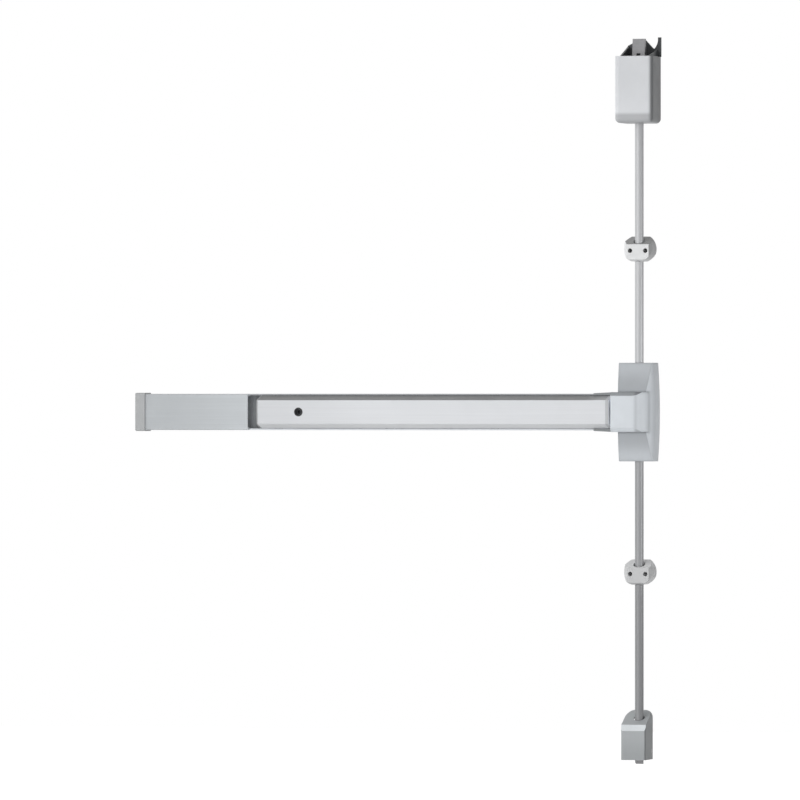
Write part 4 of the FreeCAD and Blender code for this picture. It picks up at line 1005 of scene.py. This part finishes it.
class EXITDEVICE_OT_dogging_rim(bpy.types.Operator):
    """Turn the thin black rim round the dogging hole in the push pad"""

    bl_idname = "exit_device.dogging_rim"
    bl_label = "Dogging hole's rim"

    def execute(self, context):
        size = context.scene.exit_device_sizes
        low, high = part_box("dogging_bushing")
        centre = (low + high) / 2
        centre.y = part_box("push_pad")[0].y
        mesh = bmesh.new()
        section = bmesh.ops.create_grid(mesh, x_segments=1, y_segments=1, size=1.0)["verts"]
        bmesh.ops.delete(mesh, geom=list(mesh.faces), context="FACES_ONLY")
        half_width = (size.rim_outer - size.rim_inner) / 2
        out = Vector((size.rim_inner + half_width, 0, 0))
        bmesh.ops.scale(mesh, verts=section, vec=(half_width, size.rim_depth, 1.0))
        bmesh.ops.translate(mesh, verts=section, vec=centre + out)
        bmesh.ops.spin(
            mesh,
            geom=section + list(mesh.edges),
            cent=centre,
            axis=(0, 1, 0),
            angle=2 * math.pi,
            steps=RIM_STEPS,
            use_merge=True,
            use_duplicate=False,
        )
        finished_piece("dogging_hole_rim", mesh, "Black Nylon", "push_pad")
        return {"FINISHED"}


class EXITDEVICE_OT_centre_case(bpy.types.Operator):
    """Finish the centre case and the cranks in it"""

    bl_idname = "exit_device.centre_case"
    bl_label = "Centre case"

    def execute(self, context):
        dress("Head Casting", "center_cover")
        dress("Plated Steel", "center_base_plate")
        dress("Screw Steel", "lift_crank_pivots", "lift_crank_clips")
        dress("Hardened Steel", "lift_crank_upper", "lift_crank_lower")
        dress("Black Nylon", "rod_bushings")
        return {"FINISHED"}


class EXITDEVICE_OT_rods(bpy.types.Operator):
    """Finish the rods, their ends and their guides"""

    bl_idname = "exit_device.rods"
    bl_label = "Rods and guides"

    def execute(self, context):
        dress("Rod Steel", "top_rod")
        dress("Low Rod Steel", "bottom_rod")
        dress("Hardened Steel", "top_rod_clevis", "top_rod_tang", "bottom_rod_clevis")
        dress("Hardened Steel", "bottom_bolt")
        dress("Screw Steel", "top_rod_pins", "bottom_rod_pin", "top_lock_nuts", "bottom_lock_nuts")
        dress("Guide Casting", "upper_rod_guide", "lower_rod_guide")
        return {"FINISHED"}


class EXITDEVICE_OT_latches(bpy.types.Operator):
    """Finish the top and bottom latches"""

    bl_idname = "exit_device.latches"
    bl_label = "Latches"

    def execute(self, context):
        dress("Latch Casting", "top_latch_cover")
        dress("Low Latch Casting", "bottom_latch_cover")
        dress("Blackened Steel", "top_latch_chassis")
        dress("Plated Steel", "bottom_latch_chassis")
        dress("Screw Steel", "top_latch_pivot_pin")
        dress("Hardened Steel", "top_bolt")
        return {"FINISHED"}


class EXITDEVICE_OT_screws(bpy.types.Operator):
    """Make the countersunk cross-recess screws of the end cap, the centre case and the latches"""

    bl_idname = "exit_device.screws"
    bl_label = "Cover screws"

    def execute(self, context):
        screw_piece("end_cap_cross_screws", "end_cap_screws", lambda low, high: (1, 0, 0))
        screw_piece(
            "case_cross_screws",
            "center_cover_screws",
            lambda low, high: (0, 0, -1) if low.z > 0 else (0, 0, 1),
        )
        screw_piece(
            "top_latch_cross_screws", "top_latch_cover_screws", lambda low, high: (0, 0, 1)
        )
        screw_piece(
            "bottom_latch_cross_screws",
            "bottom_latch_cover_screws",
            lambda low, high: (1, 0, 0) if high.x < 0 else (-1, 0, 0),
        )
        return {"FINISHED"}


# Stage

SENSOR_WIDTH = 36.0
FAR_CLIP = 100.0
FLOOR_HALF = 4.0
FLOOR_TONES = (tone(243, 243, 243), tone(250, 250, 250))
KEY_SIZE = 2.4
KEY_PLACE = (-1.5, -2.6, 0.1)
KEY_AIM = (-0.25, 0.0, 0.0)
FILL_CONE = math.radians(17.0)
FILL_BLEND = 0.8
FILL_SOFT_SIZE = 0.3
FILL_PLACE = (2.4, -0.7, -0.03)
FILL_AIM = (0.0, 0.0, -0.03)


def seen_straight(tree):
    """1 for what the camera sees, also in a reflection or through glass, and 0 for other light."""
    rays = node(tree, "ShaderNodeLightPath").outputs
    seen = maths(tree, "ADD", rays["Is Camera Ray"], rays["Is Glossy Ray"], clamp=True)
    return maths(tree, "ADD", seen, rays["Is Transmission Ray"], clamp=True)


def floor_surface(glow):
    """Pale floor that keeps the device's shadow and is white to the camera."""
    material, tree, shader = new_material("Pale Floor")
    mottle = noise(tree, object_place(tree), scale=3.0, detail=4.0)
    tree.links.new(blend(tree, mottle, *FLOOR_TONES), shader.inputs["Base Color"])
    shader.inputs["Roughness"].default_value = 0.9
    shader.inputs["Specular IOR Level"].default_value = 0.0
    shader.inputs["Emission Color"].default_value = (1.0, 1.0, 1.0, 1.0)
    strength = maths(tree, "MULTIPLY", seen_straight(tree), glow)
    tree.links.new(strength, shader.inputs["Emission Strength"])
    return material


def link_turned(name, data, place, way):
    """Puts a lamp or a camera at a place, pointed along a way."""
    made = bpy.data.objects.new(name, data)
    bpy.context.scene.collection.objects.link(made)
    made.location = place
    made.rotation_mode = "QUATERNION"
    made.rotation_quaternion = way.to_track_quat("-Z", "Y")
    return made


def add_lamp(name, kind, place, aim, **settings):
    """A lamp at a place, aimed at another."""
    light = bpy.data.lights.new(name, kind)
    for key, value in settings.items():
        setattr(light, key, value)
    link_turned(name, light, place, Vector(aim) - Vector(place))


class EXITDEVICE_OT_stage(bpy.types.Operator):
    """Set the camera, the pale floor and the soft light"""

    bl_idname = "exit_device.stage"
    bl_label = "Stage"

    def execute(self, context):
        context.scene.view_settings.view_transform = "Standard"
        self.set_camera(context.scene)
        self.set_floor(context.scene)
        self.set_light(context.scene)
        return {"FINISHED"}

    def set_camera(self, scene):
        """The photograph's view: level, and turned to the right of square-on."""
        stage = scene.exit_device_stage
        along = Vector((-math.sin(stage.view_angle), math.cos(stage.view_angle), 0.0))
        across = Vector((math.cos(stage.view_angle), math.sin(stage.view_angle), 0.0))
        low, high = cad_box
        depth = (low.y + high.y) / 2
        aim = across * stage.aim_across
        aim += along * (depth - aim.y) / along.y
        aim.z = stage.aim_height
        lens = bpy.data.cameras.new("Camera")
        lens.sensor_width = SENSOR_WIDTH
        lens.lens = lens.sensor_width * stage.distance / stage.frame_width
        lens.clip_end = FAR_CLIP
        scene.camera = link_turned("Camera", lens, aim - along * stage.distance, along)

    def set_floor(self, scene):
        """A pale floor below the device."""
        stage = scene.exit_device_stage
        low, high = cad_box
        mesh = bmesh.new()
        bmesh.ops.create_grid(mesh, x_segments=1, y_segments=1, size=FLOOR_HALF)
        place = Matrix.Translation(((low.x + high.x) / 2, 0.0, low.z - stage.floor_drop))
        bmesh.ops.transform(mesh, matrix=place, verts=mesh.verts)
        data = bpy.data.meshes.new("floor")
        mesh.to_mesh(data)
        mesh.free()
        data.materials.append(floor_surface(stage.floor_glow))
        floor = bpy.data.objects.new("floor", data)
        scene.collection.objects.link(floor)

    def set_light(self, scene):
        """A soft key lamp, a fill lamp from the right, and a room that is paler to the left."""
        stage = scene.exit_device_stage
        add_lamp(
            "Key",
            "AREA",
            KEY_PLACE,
            KEY_AIM,
            shape="RECTANGLE",
            size=KEY_SIZE,
            size_y=KEY_SIZE,
            energy=stage.lamp,
        )
        add_lamp(
            "Fill",
            "SPOT",
            FILL_PLACE,
            FILL_AIM,
            spot_size=FILL_CONE,
            spot_blend=FILL_BLEND,
            shadow_soft_size=FILL_SOFT_SIZE,
            energy=stage.fill,
        )
        world = bpy.data.worlds.new("Studio")
        scene.world = world
        world.use_nodes = True
        tree = world.node_tree
        ground = tree.nodes["Background"]
        way = node(tree, "ShaderNodeTexCoord").outputs["Generated"]
        room = maths(tree, "ADD", dot(tree, way, stage.lean), stage.ambient)
        strength = blend(tree, seen_straight(tree), room, 1.0, "FLOAT")
        tree.links.new(strength, ground.inputs["Strength"])
        ground.inputs["Color"].default_value = (1.0, 1.0, 1.0, 1.0)


# Add-on

STEPS = (
    EXITDEVICE_OT_bar,
    EXITDEVICE_OT_bar_works,
    EXITDEVICE_OT_springs,
    EXITDEVICE_OT_dogging_rim,
    EXITDEVICE_OT_centre_case,
    EXITDEVICE_OT_rods,
    EXITDEVICE_OT_latches,
    EXITDEVICE_OT_screws,
    EXITDEVICE_OT_stage,
)


class EXITDEVICE_PT_panel(bpy.types.Panel):
    """Steps and settings of the exit device"""

    bl_idname = "EXITDEVICE_PT_panel"
    bl_label = "Exit Device"
    bl_space_type = "VIEW_3D"
    bl_region_type = "UI"
    bl_category = "Exit Device"

    def draw(self, context):
        layout = self.layout
        for step in STEPS:
            layout.operator(step.bl_idname)
        for settings in ("exit_device_finish", "exit_device_sizes", "exit_device_stage"):
            values = getattr(context.scene, settings)
            box = layout.box()
            for name in values.__annotations__:
                box.prop(values, name)


CLASSES = (ExitDeviceFinish, ExitDeviceSizes, ExitDeviceStage) + STEPS + (EXITDEVICE_PT_panel,)


def register():
    for item in CLASSES:
        bpy.utils.register_class(item)
    bpy.types.Scene.exit_device_finish = PointerProperty(type=ExitDeviceFinish)
    bpy.types.Scene.exit_device_sizes = PointerProperty(type=ExitDeviceSizes)
    bpy.types.Scene.exit_device_stage = PointerProperty(type=ExitDeviceStage)


def unregister():
    del bpy.types.Scene.exit_device_stage
    del bpy.types.Scene.exit_device_sizes
    del bpy.types.Scene.exit_device_finish
    for item in reversed(CLASSES):
        bpy.utils.unregister_class(item)


def main():
    register()
    for step in STEPS:
        family, title = step.bl_idname.split(".")
        getattr(getattr(bpy.ops, family), title)()


if __name__ == "__main__":
    main()
